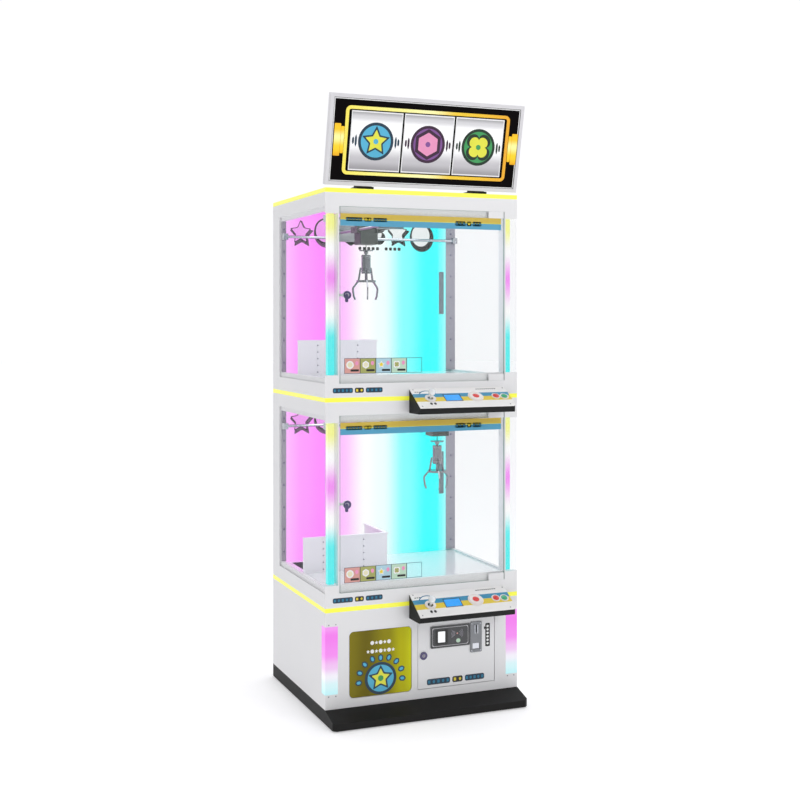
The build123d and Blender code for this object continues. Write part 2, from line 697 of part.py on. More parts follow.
def tier_frame(tier):
    """The welded frame of one deck, piece by piece, with its roof, floor ledges and bulkhead."""
    inner = HALF - SKIN - RAIL
    rail_out = HALF - SKIN
    top = TIER_PITCH
    hinge = pivot(tier, STRIP, top, PIVOT_RADIUS + RUNNING)
    reach = PIVOT_DEEP + 1
    rear_sill_y = (REAR_FRAME_Y - REAR_SILL_DEEP, REAR_FRAME_Y)
    bore_low = hinge & block((0, HALF), (0, FACE), tier.z(LEAF_LOW - reach, LEAF_LOW))
    bore_high = hinge & block((0, HALF), (0, FACE), tier.z(LEAF_HIGH, LEAF_HIGH + reach))
    solids = [
        block((-HALF, HALF), (0, FACE), tier.z(STRIP, LEAF_LOW)) - bore_low,
        block((-HALF, HALF), (0, FACE), tier.z(LEAF_HIGH, top)) - bore_high,
        block((-JAMB_X, JAMB_X), (REBATE, FACE), tier.z(LEAF_LOW, OPENING[0])),
        block((-JAMB_X, JAMB_X), (REBATE, FACE), tier.z(OPENING[1], LEAF_HIGH)),
        block((-inner, inner), rear_sill_y, tier.z(STRIP, REAR_SILL_RISE)),
        block((-inner, inner), (BULKHEAD_Y, BULKHEAD_Y + BULKHEAD_THICK), tier.z(STRIP, top - ROOF_THICK)),
    ]
    for side in (-1, 1):
        solids += frame_side(tier, side, inner, rail_out)
    solids.append(block(CENTRE_LEDGE_X, (FACE, BULKHEAD_Y), tier.z(STRIP, FLOOR_TOP - FLOOR_THICK)))
    roof = ((-inner, inner), (FACE, REAR_FRAME_Y), tier.z(top - ROOF_THICK, top))
    if tier is UPPER:
        lid_y = (FACE, DEPTH - FACE)
        solids += [block(*roof), block((-HALF + FACE, HALF - FACE), lid_y, tier.z(top, top + STRIP))]
    else:
        solids.append(plate_with_hole(*roof, UPPER.hole))
    return solids


def frame_side(tier, side, inner, rail_out):
    """One side of a tier's frame: skins, rails, rear post, corner blocks, jamb and floor ledge."""

    def span(low, high):
        return (low, high) if side > 0 else (-high, -low)

    web_end = BAR_FRONT + BAR_SIZE + JAMB_WEB
    ledge_top = FLOOR_TOP - FLOOR_THICK
    boxes = [
        (span(rail_out, HALF), (FACE, DEPTH), (STRIP, PANE_Z[0])),
        (span(rail_out, HALF), (FACE, DEPTH), (PANE_Z[1], TIER_PITCH)),
        (span(rail_out, HALF), (PANE_Y[1] + GAP, DEPTH), PANE_Z),
        (span(inner, rail_out), (FACE, BACK_POST_Y), (STRIP, WINDOW_Z[0])),
        (span(inner, rail_out), (FACE, BACK_POST_Y), (WINDOW_Z[1], TIER_PITCH)),
        (span(inner, rail_out), (BACK_POST_Y, REAR_FRAME_Y), (STRIP, TIER_PITCH)),
        (span(JAMB_X, rail_out), (0, FACE), (LEAF_LOW, OPENING[0])),
        (span(JAMB_X, rail_out), (0, FACE), (OPENING[1], LEAF_HIGH)),
        (span(rail_out, HALF), (0, PANE_Y[0] - GAP), (LEAF_LOW, OPENING[0])),
        (span(rail_out, HALF), (0, PANE_Y[0] - GAP), (OPENING[1], LEAF_HIGH)),
        (span(JAMB_X, JAMB_X + JAMB_WEB), (0, web_end), OPENING),
        (span(JAMB_X + JAMB_WEB, BAR_OUTER), (web_end - JAMB_WEB, web_end), OPENING),
        (span(inner - LEDGE, inner), (FACE, BACK_POST_Y), (ledge_top - LEDGE_THICK, ledge_top)),
    ]
    return [block(x, y, tier.z(*z)) for x, y, z in boxes]


def trim_strips():
    """The coloured strips between the sections, four bars on each level."""
    bars = []
    for tier_base in (LOWER.base, UPPER.base, TOP - STRIP):
        z = (tier_base, tier_base + STRIP)
        bars.append(block((-HALF, HALF), (0, FACE), z))
        bars.append(block((-HALF, HALF), (DEPTH - FACE, DEPTH), z))
        for x in both_sides(HALF - FACE, HALF):
            bars.append(block(x, (FACE, DEPTH - FACE), z))
    return bars


def clear_panels():
    """Side windows, and the clear covers in front of the corner lights."""
    panes = []
    for tier in TIERS:
        for x in both_sides(HALF - PANE_THICK, HALF):
            panes.append(block(x, PANE_Y, tier.z(*grow(PANE_Z, -GAP))))
        z = tier.z(*grow(OPENING, -GAP))
        for side in (-1, 1):
            front = sorted((side * COVER_X, side * HALF))
            leg = sorted((side * (HALF - COVER_THICK), side * HALF))
            cover = block(front, (0, COVER_THICK), z)
            panes.append(cover + block(leg, (COVER_THICK, PANE_Y[0] - GAP), z))
    return panes


def corner_lights():
    """The light bars in the tiers' front corners and the wrap-round ones in the base."""
    bars = []
    for tier in TIERS:
        for x in both_sides(BAR_OUTER - BAR_SIZE, BAR_OUTER):
            bars.append(block(x, (BAR_FRONT, BAR_FRONT + BAR_SIZE), tier.z(*OPENING)))
    z = grow(BASE_LIGHT_Z, -GAP)
    for side in (-1, 1):
        front = sorted((side * (HALF - LIGHT_LEG_FRONT + GAP), side * HALF))
        leg = sorted((side * (HALF - LIGHT_THICK), side * HALF))
        wrap = block(front, (0, LIGHT_THICK), z)
        bars.append(wrap + block(leg, (LIGHT_THICK, LIGHT_LEG_SIDE - GAP), z))
    return bars


def back_lights():
    """The lit panels behind the playfields."""
    y = (BULKHEAD_Y - GAP - LIGHT_PANEL_THICK, BULKHEAD_Y - GAP)
    z = (FLOOR_TOP + GAP, TIER_PITCH - ROOF_THICK - GAP)
    return [block(LIGHT_PANEL_X, y, tier.z(*z)) for tier in TIERS]


def rear_corner_strips():
    """The metal strips that close the back light's two edges."""
    rail_out = HALF - SKIN
    solids = []
    for tier in TIERS:
        for x in ((-rail_out, LIGHT_PANEL_X[0]), (LIGHT_PANEL_X[1], rail_out)):
            solids.append(block(x, (STRIP_FRONT, BULKHEAD_Y - GAP - LIGHT_PANEL_THICK), tier.z(*WINDOW_Z)))
    return solids


def playfield_floors():
    """The white floors, each with its prize hole."""
    x = grow((-HALF + SKIN + RAIL, HALF - SKIN - RAIL), -GAP)
    y = (FACE + GAP, BULKHEAD_Y - 2 * GAP - LIGHT_PANEL_THICK)
    z = (FLOOR_TOP - FLOOR_THICK, FLOOR_TOP)
    return [plate_with_hole(x, y, tier.z(*z), tier.hole) for tier in TIERS]


def chute_guards():
    """The low walls round the prize holes, with a thick lip."""
    solids = []
    for tier in TIERS:
        left = -HALF + SKIN + RAIL + GAP
        back = BULKHEAD_Y - 2 * GAP - LIGHT_PANEL_THICK
        z = tier.z(FLOOR_TOP, GUARD_TOP - GUARD_LIP_THICK)
        lip_z = tier.z(GUARD_TOP - GUARD_LIP_THICK, GUARD_TOP)
        proud = (GUARD_LIP - GUARD_SHEET) / 2
        side_x = (tier.guard_x - GUARD_SHEET, tier.guard_x)
        front_y = (tier.guard_y, tier.guard_y + GUARD_SHEET)
        lip_y = grow(front_y, proud)
        lip_x = grow(side_x, proud)
        solids.append(block((left, tier.guard_x), front_y, z))
        solids.append(block(side_x, (front_y[1], back), z))
        solids.append(block((left, lip_x[1]), lip_y, lip_z))
        solids.append(block(lip_x, (lip_y[1], back), lip_z))
    return solids


def rear_covers():
    """The screwed covers at the back of both tiers, with vent slots."""
    covers = []
    for tier in TIERS:
        y = (REAR_FRAME_Y, REAR_FRAME_Y + REAR_COVER_THICK)
        cover = block(grow((-HALF + SKIN, HALF - SKIN), -GAP), y, tier.z(STRIP + GAP, TIER_PITCH - GAP))
        rows, vent_half, first = COVER_VENTS
        for row in range(rows):
            vent_z = first - VENT_PITCH * row
            cover -= block((-vent_half, vent_half), grow(y, 1), tier.z(vent_z, vent_z + VENT_HEIGHT))
        covers.append(cover)
    return covers


# ---------------------------------------------------------------- gantry and claw


def gantry_rails():
    """The fixed rails that the bridges run on, with their brackets."""
    solids = []
    front_seat = BAR_FRONT + BAR_SIZE + JAMB_WEB
    rails = (
        (FRONT_RAIL, front_seat, FRONT_RAIL_HALF, BAR_OUTER),
        (REAR_RAIL, STRIP_FRONT, REAR_RAIL_HALF, HALF - SKIN),
    )
    for tier in TIERS:
        for (y, rail_z), seat_y, half, outer in rails:
            z = tier.base + rail_z
            solids.append(rod((-half, y, z), (half, y, z), RAIL_RADIUS))
            bracket_y = sorted((seat_y, 2 * y - seat_y))
            for x in both_sides(half, outer):
                solids.append(block(x, bracket_y, grow((z, z), RAIL_BRACKET)))
    return solids


def bridge(tier):
    """The beam that carries the trolley: two carriages, two rods and the drive motor."""
    x = grow((tier.claw_x, tier.claw_x), CARRIAGE_HALF)
    solids = []
    carriages = (
        (FRONT_RAIL, FRONT_CARRIAGE_Y, FRONT_CARRIAGE_Z),
        (REAR_RAIL, REAR_CARRIAGE_Y, REAR_CARRIAGE_Z),
    )
    for rail, y, z in carriages:
        body = block(x, y, tier.z(*z))
        rail_z = tier.base + rail[1]
        body -= rod((x[0] - 1, rail[0], rail_z), (x[1] + 1, rail[0], rail_z), RAIL_RADIUS + RUNNING)
        solids.append(body)
    for rod_x in (tier.claw_x - ROD_SPACING, tier.claw_x + ROD_SPACING):
        ends = ((rod_x, y, tier.base + ROD_Z) for y in (FRONT_CARRIAGE_Y[1], REAR_CARRIAGE_Y[0]))
        solids.append(rod(*ends, ROD_RADIUS))
    radius, length = DRIVE_MOTOR
    motor_z = tier.base + REAR_CARRIAGE_Z[1] + radius
    motor_y = REAR_CARRIAGE_Y[1] - radius
    motor = rod((tier.claw_x - length, motor_y, motor_z), (tier.claw_x + length, motor_y, motor_z), radius)
    cradle_x = grow((tier.claw_x, tier.claw_x), length / 2)
    cradle = block(cradle_x, grow((motor_y, motor_y), radius / 2), (motor_z - radius, motor_z))
    solids.append(motor + cradle)
    return solids


def trolley(tier):
    """The trolley: bearing blocks on the rods, the hoist motor box and the winch drum."""
    cx, cy, base = tier.claw_x, tier.claw_y, tier.base
    y = grow((cy, cy), TROLLEY_HALF)
    plate_x = grow((cx, cx), CARRIAGE_HALF)
    body = block(plate_x, y, tier.z(*TROLLEY_PLATE_Z))
    for rod_x in (cx - ROD_SPACING, cx + ROD_SPACING):
        block_x = grow((rod_x, rod_x), TROLLEY_BLOCK / 2)
        body += block(block_x, y, tier.z(MOTOR_BOX_Z[1], TROLLEY_PLATE_Z[0]))
        bore = ((rod_x, y[0] - 1, base + ROD_Z), (rod_x, y[1] + 1, base + ROD_Z))
        body -= rod(*bore, ROD_RADIUS + RUNNING)
    box = block(grow((cx, cx), MOTOR_BOX_HALF), y, tier.z(*MOTOR_BOX_Z))
    box = fillet(box.edges().filter_by(Axis.Z), MOTOR_BOX_CORNER)
    neck_half = ROD_SPACING - TROLLEY_BLOCK / 2
    neck_y = grow(y, -2 * MOTOR_BOX_CORNER)
    neck = block(grow((cx, cx), neck_half), neck_y, tier.z(MOTOR_BOX_Z[1], TROLLEY_PLATE_Z[0]))
    winch_z = base + TROLLEY_PLATE_Z[1] + WINCH_RADIUS
    drum = rod((cx - neck_half, cy, winch_z), (cx + neck_half, cy, winch_z), WINCH_RADIUS)
    cradle_z = (base + TROLLEY_PLATE_Z[1], winch_z)
    drum += block(grow((cx, cx), neck_half), grow((cy, cy), WINCH_RADIUS / 2), cradle_z)
    return [body, box + neck, drum]


def hoist_cord(tier):
    """The hoist cord from the motor box down to the claw."""
    ends = ((tier.claw_x, tier.claw_y, tier.base + z) for z in (CLAW_PLATE_Z, MOTOR_BOX_Z[0]))
    return [rod(*ends, CORD_RADIUS)]


def claw_head(tier):
    """The claw's suspended head: top plate, solenoid can, shaft and the slotted hub with its pins."""
    cx, cy, base = tier.claw_x, tier.claw_y, tier.base

    def turned(low, high, radius):
        return rod((cx, cy, base + low), (cx, cy, base + high), radius)

    head = turned(CLAW_PLATE_Z - CLAW_PLATE_THICK, CLAW_PLATE_Z, CLAW_PLATE_RADIUS)
    head += turned(CAN_Z[1], CLAW_PLATE_Z - CLAW_PLATE_THICK, SHAFT_RADIUS)
    can = turned(*CAN_Z, CAN_RADIUS)
    head += fillet(can.edges().filter_by(GeomType.CIRCLE), CAN_EDGE)
    head += turned(HUB_Z[1], CAN_Z[0], SHAFT_RADIUS)
    hub = turned(*HUB_Z, HUB_RADIUS)
    for angle in ARM_ANGLES:
        slot = block((ARM_SLOT_INNER, HUB_RADIUS + 1), (-ARM_SLOT / 2, ARM_SLOT / 2), HUB_Z)
        pin_ends = ((ARM_PIVOT[0], y, ARM_PIVOT[1]) for y in (-ARM_SLOT, ARM_SLOT))
        pin = rod(*pin_ends, ARM_PIN_RADIUS)
        place = Pos(cx, cy, base) * Rot(0, 0, angle)
        hub = hub - place * slot + place * pin
    return [head + hub]


def claw_arm(tier, angle):
    """One prong: a bent bar on the hub's pin, with a lever that rises beside the can."""
    width, height = ARM_BAR
    r, z = ARM_PIVOT
    arm = None
    for (r0, z0), (r1, z1) in zip(ARM_ROUTE, ARM_ROUTE[1:]):
        length = hypot(r1 - r0, z1 - z0)
        turn = degrees(atan2(z1 - z0, r1 - r0))
        run = extrude(SlotCenterToCenter(length, height), amount=width / 2, both=True)
        run = Pos(r + (r0 + r1) / 2, 0, z + (z0 + z1) / 2) * Rot(90, 0, 0) * Rot(0, 0, turn) * run
        arm = run if arm is None else arm + run
    arm += rod((r, -width / 2, z), (r, width / 2, z), ARM_BOSS_RADIUS)
    arm -= rod((r, -width, z), (r, width, z), ARM_PIN_RADIUS + RUNNING)
    return [Pos(tier.claw_x, tier.claw_y, tier.base) * Rot(0, 0, angle) * arm]


# ---------------------------------------------------------------- glass doors


def pivot(tier, low, high, radius):
    """A pin or bore on a glass door's hinge axis."""
    x, y = GLASS_PIVOT
    return rod((x, y, tier.base + low), (x, y, tier.base + high), radius)


def glass_leaf_z():
    """The heights of the glass leaf above the tier's strip bottom."""
    return (LEAF_LOW + 0.5, LEAF_HIGH - 0.5)


def patch_heights():
    """The heights of the two patch fittings that grip the leaf's corners."""
    low, high = glass_leaf_z()
    return ((low, low + PATCH_HEIGHT), (high - PATCH_HEIGHT, high))


def door_glass(tier):
    """The frameless glass door leaf, notched for its patch fittings and drilled for its lock."""
    leaf = block(GLASS_X, GLASS_Y, tier.z(*glass_leaf_z()))
    for patch_z in patch_heights():
        notch = block((PATCH_CORE_X, HALF), grow(GLASS_Y, 1), tier.z(*grow(patch_z, 1)))
        leaf -= notch
    x, z = DOOR_LOCK
    hole = ((x, y, tier.base + z) for y in grow(GLASS_Y, 1))
    return [leaf - rod(*hole, DOOR_LOCK_BODY + GAP)]


def door_fittings(tier):
    """The patch fittings with their pivot pins, and the lock with its hanging tab."""
    solids = []
    leaf_z = glass_leaf_z()
    pins = ((LEAF_LOW - PIVOT_DEEP, leaf_z[0]), (leaf_z[1], LEAF_HIGH + PIVOT_DEEP))
    for patch_z, pin_z in zip(patch_heights(), pins):
        patch = block((PATCH_CORE_X + GAP, PATCH_X[1]), GLASS_Y, tier.z(*patch_z))
        for y in ((GLASS_Y[0] - PATCH_PLATE, GLASS_Y[0]), (GLASS_Y[1], GLASS_Y[1] + PATCH_PLATE)):
            patch += block(PATCH_X, y, tier.z(*patch_z))
        solids.append(patch + pivot(tier, *pin_z, PIVOT_RADIUS))
    x, z = DOOR_LOCK[0], tier.base + DOOR_LOCK[1]
    front, back = GLASS_Y
    nose = front - DOOR_LOCK_PROUD
    tail = back + DOOR_LOCK_BACK
    nut_radius, nut_thick = DOOR_LOCK_NUT
    cam_thick, cam_half = DOOR_LOCK_CAM
    tab_half, tab_thick, tab_drop, tab_rise = DOOR_LOCK_TAB
    lock = rod((x, nose, z), (x, front, z), DOOR_LOCK_RADIUS)
    lock += rod((x, front, z), (x, tail, z), DOOR_LOCK_BODY)
    lock += rod((x, back, z), (x, back + nut_thick, z), nut_radius)
    lock += block((GLASS_X[0] - 1, x), (tail, tail + cam_thick), grow((z, z), cam_half))
    tab_x = x - tab_half / 2
    lock += block(grow((tab_x, tab_x), tab_half), (nose - tab_thick, nose), (z - tab_drop, z + tab_rise))
    return solids + [lock]


# ---------------------------------------------------------------- consoles


def deck_plane(tier):
    """The console deck's plane: x across, y up the slope, z out of the deck."""
    (lip_y, lip_z), back_z = CONSOLE_LIP[0], CONSOLE_BACK[1]
    slope = Vector(0, -lip_y, back_z - lip_z).normalized()
    normal = Vector(0, -slope.Z, slope.Y)
    return Plane(origin=(0, 0, tier.base + back_z), x_dir=(1, 0, 0), z_dir=normal)


def on_deck(tier, x, down, shape):
    """A shape drawn about a point on the deck, at x and a distance down the slope."""
    return deck_plane(tier).location * Pos(x, -down, 0) * shape


def console_plan():
    """The console's outline from above, as a tall solid that rounds its front right corner."""
    plan = block(CONSOLE_X, (CONSOLE_LIP[0][0], 0), (0, TOP))
    corner = plan.edges().filter_by(Axis.Z).group_by(Axis.Y)[0].sort_by(Axis.X)[-1]
    return fillet(corner, CONSOLE_CORNER)


def deck_drop():
    """How far below the deck's top the shell starts, at the cabinet and at the front lip."""
    reach = hypot(CONSOLE_LIP[0][0], CONSOLE_BACK[1] - CONSOLE_LIP[0][1])
    cosine = -CONSOLE_LIP[0][0] / reach
    sine = (CONSOLE_BACK[1] - CONSOLE_LIP[0][1]) / reach
    return DECK / cosine, (DECK * sine, DECK * cosine)


def console_bodies():
    """The black console boxes, open at the top under the deck."""
    drop, (in_y, in_z) = deck_drop()
    (lip_y, lip_z), (foot_y, foot_z) = CONSOLE_LIP
    solids = []
    for tier in TIERS:
        outline = [
            (0, tier.base + CONSOLE_BACK[1] - drop),
            (lip_y + in_y, tier.base + lip_z - in_z),
            (foot_y, tier.base + foot_z),
            (0, tier.base + CONSOLE_BACK[0]),
        ]
        inner = [
            (-CONSOLE_WALL, tier.base + CONSOLE_BACK[1]),
            (lip_y + in_y + 2 * CONSOLE_WALL, tier.base + lip_z),
            (foot_y + CONSOLE_WALL, tier.base + foot_z + CONSOLE_WALL),
            (-CONSOLE_WALL, tier.base + CONSOLE_BACK[0] + CONSOLE_WALL),
        ]
        shell = prism(outline, CONSOLE_X) & console_plan()
        room = prism(inner, (CONSOLE_X[0] + CONSOLE_WALL, CONSOLE_X[1] - CONSOLE_CORNER / 2))
        solids.append(shell - room)
    return solids


def console_decks():
    """The printed deck plates with their holes."""
    drop, (in_y, in_z) = deck_drop()
    lip_y, lip_z = CONSOLE_LIP[0]
    solids = []
    for tier in TIERS:
        outline = [
            (0, tier.base + CONSOLE_BACK[1]),
            (lip_y, tier.base + lip_z),
            (lip_y + in_y, tier.base + lip_z - in_z),
            (0, tier.base + CONSOLE_BACK[1] - drop),
        ]
        deck = prism(outline, CONSOLE_X) & console_plan()
        hole_depth = 4 * DECK
        deck -= on_deck(tier, *JOYSTICK_AT, Cylinder(STICK_HOLE, hole_depth))
        window = [size + 2 * GAP for size in SCREEN_SIZE]
        deck -= on_deck(tier, *SCREEN_AT, Box(*window, hole_depth))
        for _, x, down, radius in BUTTONS:
            deck -= on_deck(tier, x, down, Cylinder(radius + BUTTON_SLEEVE + 2 * GAP, hole_depth))
        solids.append(deck)
    return solids


def console_screens():
    """The small displays set in the decks."""
    screen = Pos(0, 0, GAP - SCREEN_THICK / 2) * Box(*SCREEN_SIZE, SCREEN_THICK)
    return [on_deck(tier, *SCREEN_AT, screen) for tier in TIERS]


def console_fittings():
    """The button collars, the joystick bezels and the joystick housings under the decks."""
    solids = []
    for tier in TIERS:
        for _, x, down, radius in BUTTONS:
            bore = radius + GAP
            collar = rod((0, 0, 0), (0, 0, BUTTON_RING), radius + BUTTON_SLEEVE + BUTTON_FLANGE)
            collar += rod((0, 0, -BUTTON_DEEP), (0, 0, 0), radius + BUTTON_SLEEVE)
            collar -= rod((0, 0, SHEET - BUTTON_DEEP), (0, 0, BUTTON_RING + 1), bore)
            solids.append(on_deck(tier, x, down, collar))
        bezel = ring((0, 0, 0), (0, 0, STICK_BEZEL_THICK), STICK_BEZEL, STICK_HOLE)
        solids.append(on_deck(tier, *JOYSTICK_AT, bezel))
        outer, room = HOUSING_OUTER, HOUSING_OUTER - 2 * HOUSING_WALL
        middle = -DECK - HOUSING_DEEP / 2
        housing = Pos(0, 0, middle) * (Box(outer, outer, HOUSING_DEEP) - Box(room, room, HOUSING_DEEP))
        bore = ((-outer, 0, -STICK_PIVOT), (outer, 0, -STICK_PIVOT))
        housing -= rod(*bore, GIMBAL_PIN + RUNNING)
        solids.append(on_deck(tier, *JOYSTICK_AT, housing))
    return solids


def joystick_gimbal(tier):
    """The joystick's inner ring, which tips to the front and back on two pins."""
    outer = Box(2 * GIMBAL_X, 2 * GIMBAL_Y, GIMBAL_HEIGHT)
    gimbal = outer - Box(2 * GIMBAL_INNER_X, 2 * GIMBAL_INNER_Y, GIMBAL_HEIGHT)
    for side in (-1, 1):
        gimbal += rod((side * GIMBAL_X, 0, 0), (side * (HOUSING_OUTER / 2 - GAP), 0, 0), GIMBAL_PIN)
    gimbal -= rod((0, -HOUSING_OUTER, 0), (0, HOUSING_OUTER, 0), GIMBAL_PIN + RUNNING)
    return [on_deck(tier, *JOYSTICK_AT, Pos(0, 0, -STICK_PIVOT) * gimbal)]


def joystick(tier):
    """The joystick's lever with its ball and the pins on which it tips to the sides."""
    lever = rod((0, 0, -STICK_TAIL), (0, 0, STICK_PIVOT + BALL_RISE), STICK_RADIUS)
    lever += Pos(0, 0, STICK_PIVOT + BALL_RISE) * Sphere(BALL_RADIUS)
    pin_end = GIMBAL_Y - GAP
    lever += rod((0, -pin_end, 0), (0, pin_end, 0), GIMBAL_PIN)
    return [on_deck(tier, *JOYSTICK_AT, Pos(0, 0, -STICK_PIVOT) * lever)]


def button(tier, x, down, radius):
    """A push button's cap."""
    cap = rod((0, 0, BUTTON_CAP[0]), (0, 0, BUTTON_CAP[1]), radius)
    cap = fillet(cap.edges().group_by(Axis.Z)[-1], BUTTON_EDGE)
    return [on_deck(tier, x, down, cap)]


# ---------------------------------------------------------------- marquee


def marquee_slope():
    """Unit vector up the marquee's face, as (y, z)."""
    rise = MARQUEE_TOP[1] - MARQUEE_BOTTOM[1]
    lean = MARQUEE_TOP[0] - MARQUEE_BOTTOM[0]
    length = hypot(rise, lean)
    return lean / length, rise / length, length


def marquee_point(up, back):
    """A point of the marquee's section, up its face and back from it, as (y, z)."""
    lean, rise, _ = marquee_slope()
    y = MARQUEE_BOTTOM[0] + up * lean + back * rise
    z = TOP + MARQUEE_BOTTOM[1] + up * rise - back * lean
    return y, z


def marquee_slab(margin, near, far):
    """A slab parallel to the marquee's face, inside a margin and between two depths."""
    length = marquee_slope()[2]
    corners = ((margin, near), (margin, far), (length - margin, far), (length - margin, near))
    half = HALF - MARQUEE_SIDE - margin
    return prism([marquee_point(up, back) for up, back in corners], (-half, half))


def marquee_case():
    """The leaning light box with its rim."""
    case = marquee_slab(0, 0, MARQUEE_THICK)
    case -= marquee_slab(MARQUEE_RIM, -1, MARQUEE_RECESS)
    cavity = marquee_slab(MARQUEE_RIM + MARQUEE_RECESS, 0, MARQUEE_THICK - MARQUEE_BACK)
    return [case - cavity]


def marquee_face():
    """The printed face in the rim's recess."""
    near = MARQUEE_RECESS - GAP - FACE_THICK
    return [marquee_slab(MARQUEE_RIM + GAP, near, near + FACE_THICK)]


def marquee_brackets():
    """The two feet that hold the marquee up from the top of the cabinet."""
    front, rear = BRACKET_Y
    seat = MARQUEE_THICK + GAP
    low, high = marquee_point(0, seat), marquee_point(BRACKET_REACH, seat)
    high_back = marquee_point(BRACKET_REACH, seat + BRACKET_PLATE)
    low_back = marquee_point(BRACKET_FOOT, seat + BRACKET_PLATE)
    outline = [
        (front, TOP),
        (rear, TOP),
        (rear, TOP + BRACKET_FOOT),
        (low_back[0] + BRACKET_FOOT, TOP + BRACKET_FOOT),
        low_back,
        high_back,
        high,
        low,
        (low[0], TOP + BRACKET_FOOT),
        (front, TOP + BRACKET_FOOT),
    ]
    return [prism(outline, grow((x, x), BRACKET_WIDTH / 2)) for x in (-BRACKET_X, BRACKET_X)]


# ---------------------------------------------------------------- writing the nodes

FIXED = (
    plinth,
    levelling_feet,
    base_shell,
    base_front,
    prize_flap,
    coin_door,
    card_reader,
    coin_mech,
    coin_return_flap,
    prize_chute,
    cash_box,
    power_unit,
    rear_door,
    trim_strips,
    clear_panels,
    corner_lights,
    back_lights,
    rear_corner_strips,
    playfield_floors,
    chute_guards,
    rear_covers,
    gantry_rails,
    console_bodies,
    console_decks,
    console_screens,
    console_fittings,
    marquee_case,
    marquee_face,
    marquee_brackets,
)

PER_TIER = (
    bridge,
    trolley,
    hoist_cord,
    claw_head,
    door_glass,
    door_fittings,
    joystick_gimbal,
    joystick,
)

os.makedirs("parts", exist_ok=True)
for make in FIXED:
    save(make.__name__, make())
for deck in TIERS:
    save(f"{deck.name}_frame", tier_frame(deck))
    for make in PER_TIER:
        save(f"{deck.name}_{make.__name__}", make(deck))
    for number, arm_angle in enumerate(ARM_ANGLES, start=1):
        save(f"{deck.name}_claw_arm_{number}", claw_arm(deck, arm_angle))
    for label, *place in BUTTONS:
        save(f"{deck.name}_{label}", button(deck, *place))
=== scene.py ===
"""Looks of a double-deck prize crane machine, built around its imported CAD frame.

Lengths in the classes are millimetres in the cabinet's own place: x from the centre line to the
player's right, depth back from the front face, height up from the floor. place() turns them into
the frame's metres.
"""

import logging
import math
from dataclasses import dataclass, field
from enum import Enum
from itertools import product

import bmesh
import bpy
from mathutils import Matrix, Vector


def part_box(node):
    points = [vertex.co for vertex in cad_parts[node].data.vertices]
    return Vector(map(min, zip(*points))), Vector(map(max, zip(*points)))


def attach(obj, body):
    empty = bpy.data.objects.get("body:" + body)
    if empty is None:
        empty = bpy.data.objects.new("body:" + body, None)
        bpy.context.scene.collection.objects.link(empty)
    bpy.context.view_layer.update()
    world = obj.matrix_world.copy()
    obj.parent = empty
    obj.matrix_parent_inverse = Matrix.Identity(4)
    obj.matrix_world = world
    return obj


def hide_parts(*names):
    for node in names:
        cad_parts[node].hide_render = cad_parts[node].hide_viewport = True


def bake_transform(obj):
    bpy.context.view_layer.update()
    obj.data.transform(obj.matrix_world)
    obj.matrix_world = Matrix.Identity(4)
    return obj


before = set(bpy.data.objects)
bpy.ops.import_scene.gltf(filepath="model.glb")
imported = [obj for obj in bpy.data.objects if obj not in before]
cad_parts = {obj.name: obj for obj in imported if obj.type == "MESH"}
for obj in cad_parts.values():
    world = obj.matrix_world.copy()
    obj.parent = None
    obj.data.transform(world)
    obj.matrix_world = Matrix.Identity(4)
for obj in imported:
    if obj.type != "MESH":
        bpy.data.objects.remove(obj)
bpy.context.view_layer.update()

LOG = logging.getLogger("crane_machine")
MM = 0.001
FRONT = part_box("base_front")[0].y
RIGHT = Vector((1, 0, 0))
LEFT = Vector((-1, 0, 0))
BACK = Vector((0, 1, 0))
UP = Vector((0, 0, 1))
# A finish that glows this much or more is a light: all its colour is given off, over a dark base.
LIT = 0.5
UNLIT = "#141416"
# Faces that meet at more than these angles show a crisp edge.
CRISP = math.radians(35)
CRISP_CORD = math.radians(50)
# Thickness of a printed vinyl film, and of an ink laid over it.
FILM = 0.25
LAYER = 0.1


# ---------------------------------------------------------------- small tools


def linear(code: str) -> tuple[float, float, float, float]:
    """Turns an sRGB hex colour into linear RGBA.

    Args:
        code: the colour, such as "#F4F3F2".

    Returns:
        Red, green, blue and alpha in linear light.
    """
    parts = [int(code[i : i + 2], 16) / 255 for i in (1, 3, 5)]
    curve = [c / 12.92 if c <= 0.04045 else ((c + 0.055) / 1.055) ** 2.4 for c in parts]
    return (*curve, 1.0)


def place(x: float, depth: float, height: float) -> Vector:
    """Turns a cabinet point in millimetres into the frame's metres.

    Args:
        x: distance to the right of the centre line.
        depth: distance back from the cabinet's front face.
        height: height above the floor.

    Returns:
        The point in the frame.
    """
    return Vector((x * MM, FRONT + depth * MM, height * MM))


def add_node(
    tree: bpy.types.NodeTree,
    kind: str,
    settings: dict[str, object] | None = None,
    inputs: dict[str | int, object] | None = None,
) -> bpy.types.Node:
    """Adds a shader node with its settings, its values and its links.

    Args:
        tree: the node tree.
        kind: the node's type, such as "ShaderNodeTexNoise".
        settings: attributes to set on the node.
        inputs: for each input, a value or the output socket to link to it.

    Returns:
        The new node.
    """
    node = tree.nodes.new(kind)
    for name, value in (settings or {}).items():
        setattr(node, name, value)
    for key, value in (inputs or {}).items():
        if isinstance(value, bpy.types.NodeSocket):
            tree.links.new(value, node.inputs[key])
        else:
            node.inputs[key].default_value = value
    return node


# ---------------------------------------------------------------- finishes


class Axis(Enum):
    """The frame axis that a printed or lit gradient runs along."""

    X = 0
    Y = 1
    Z = 2


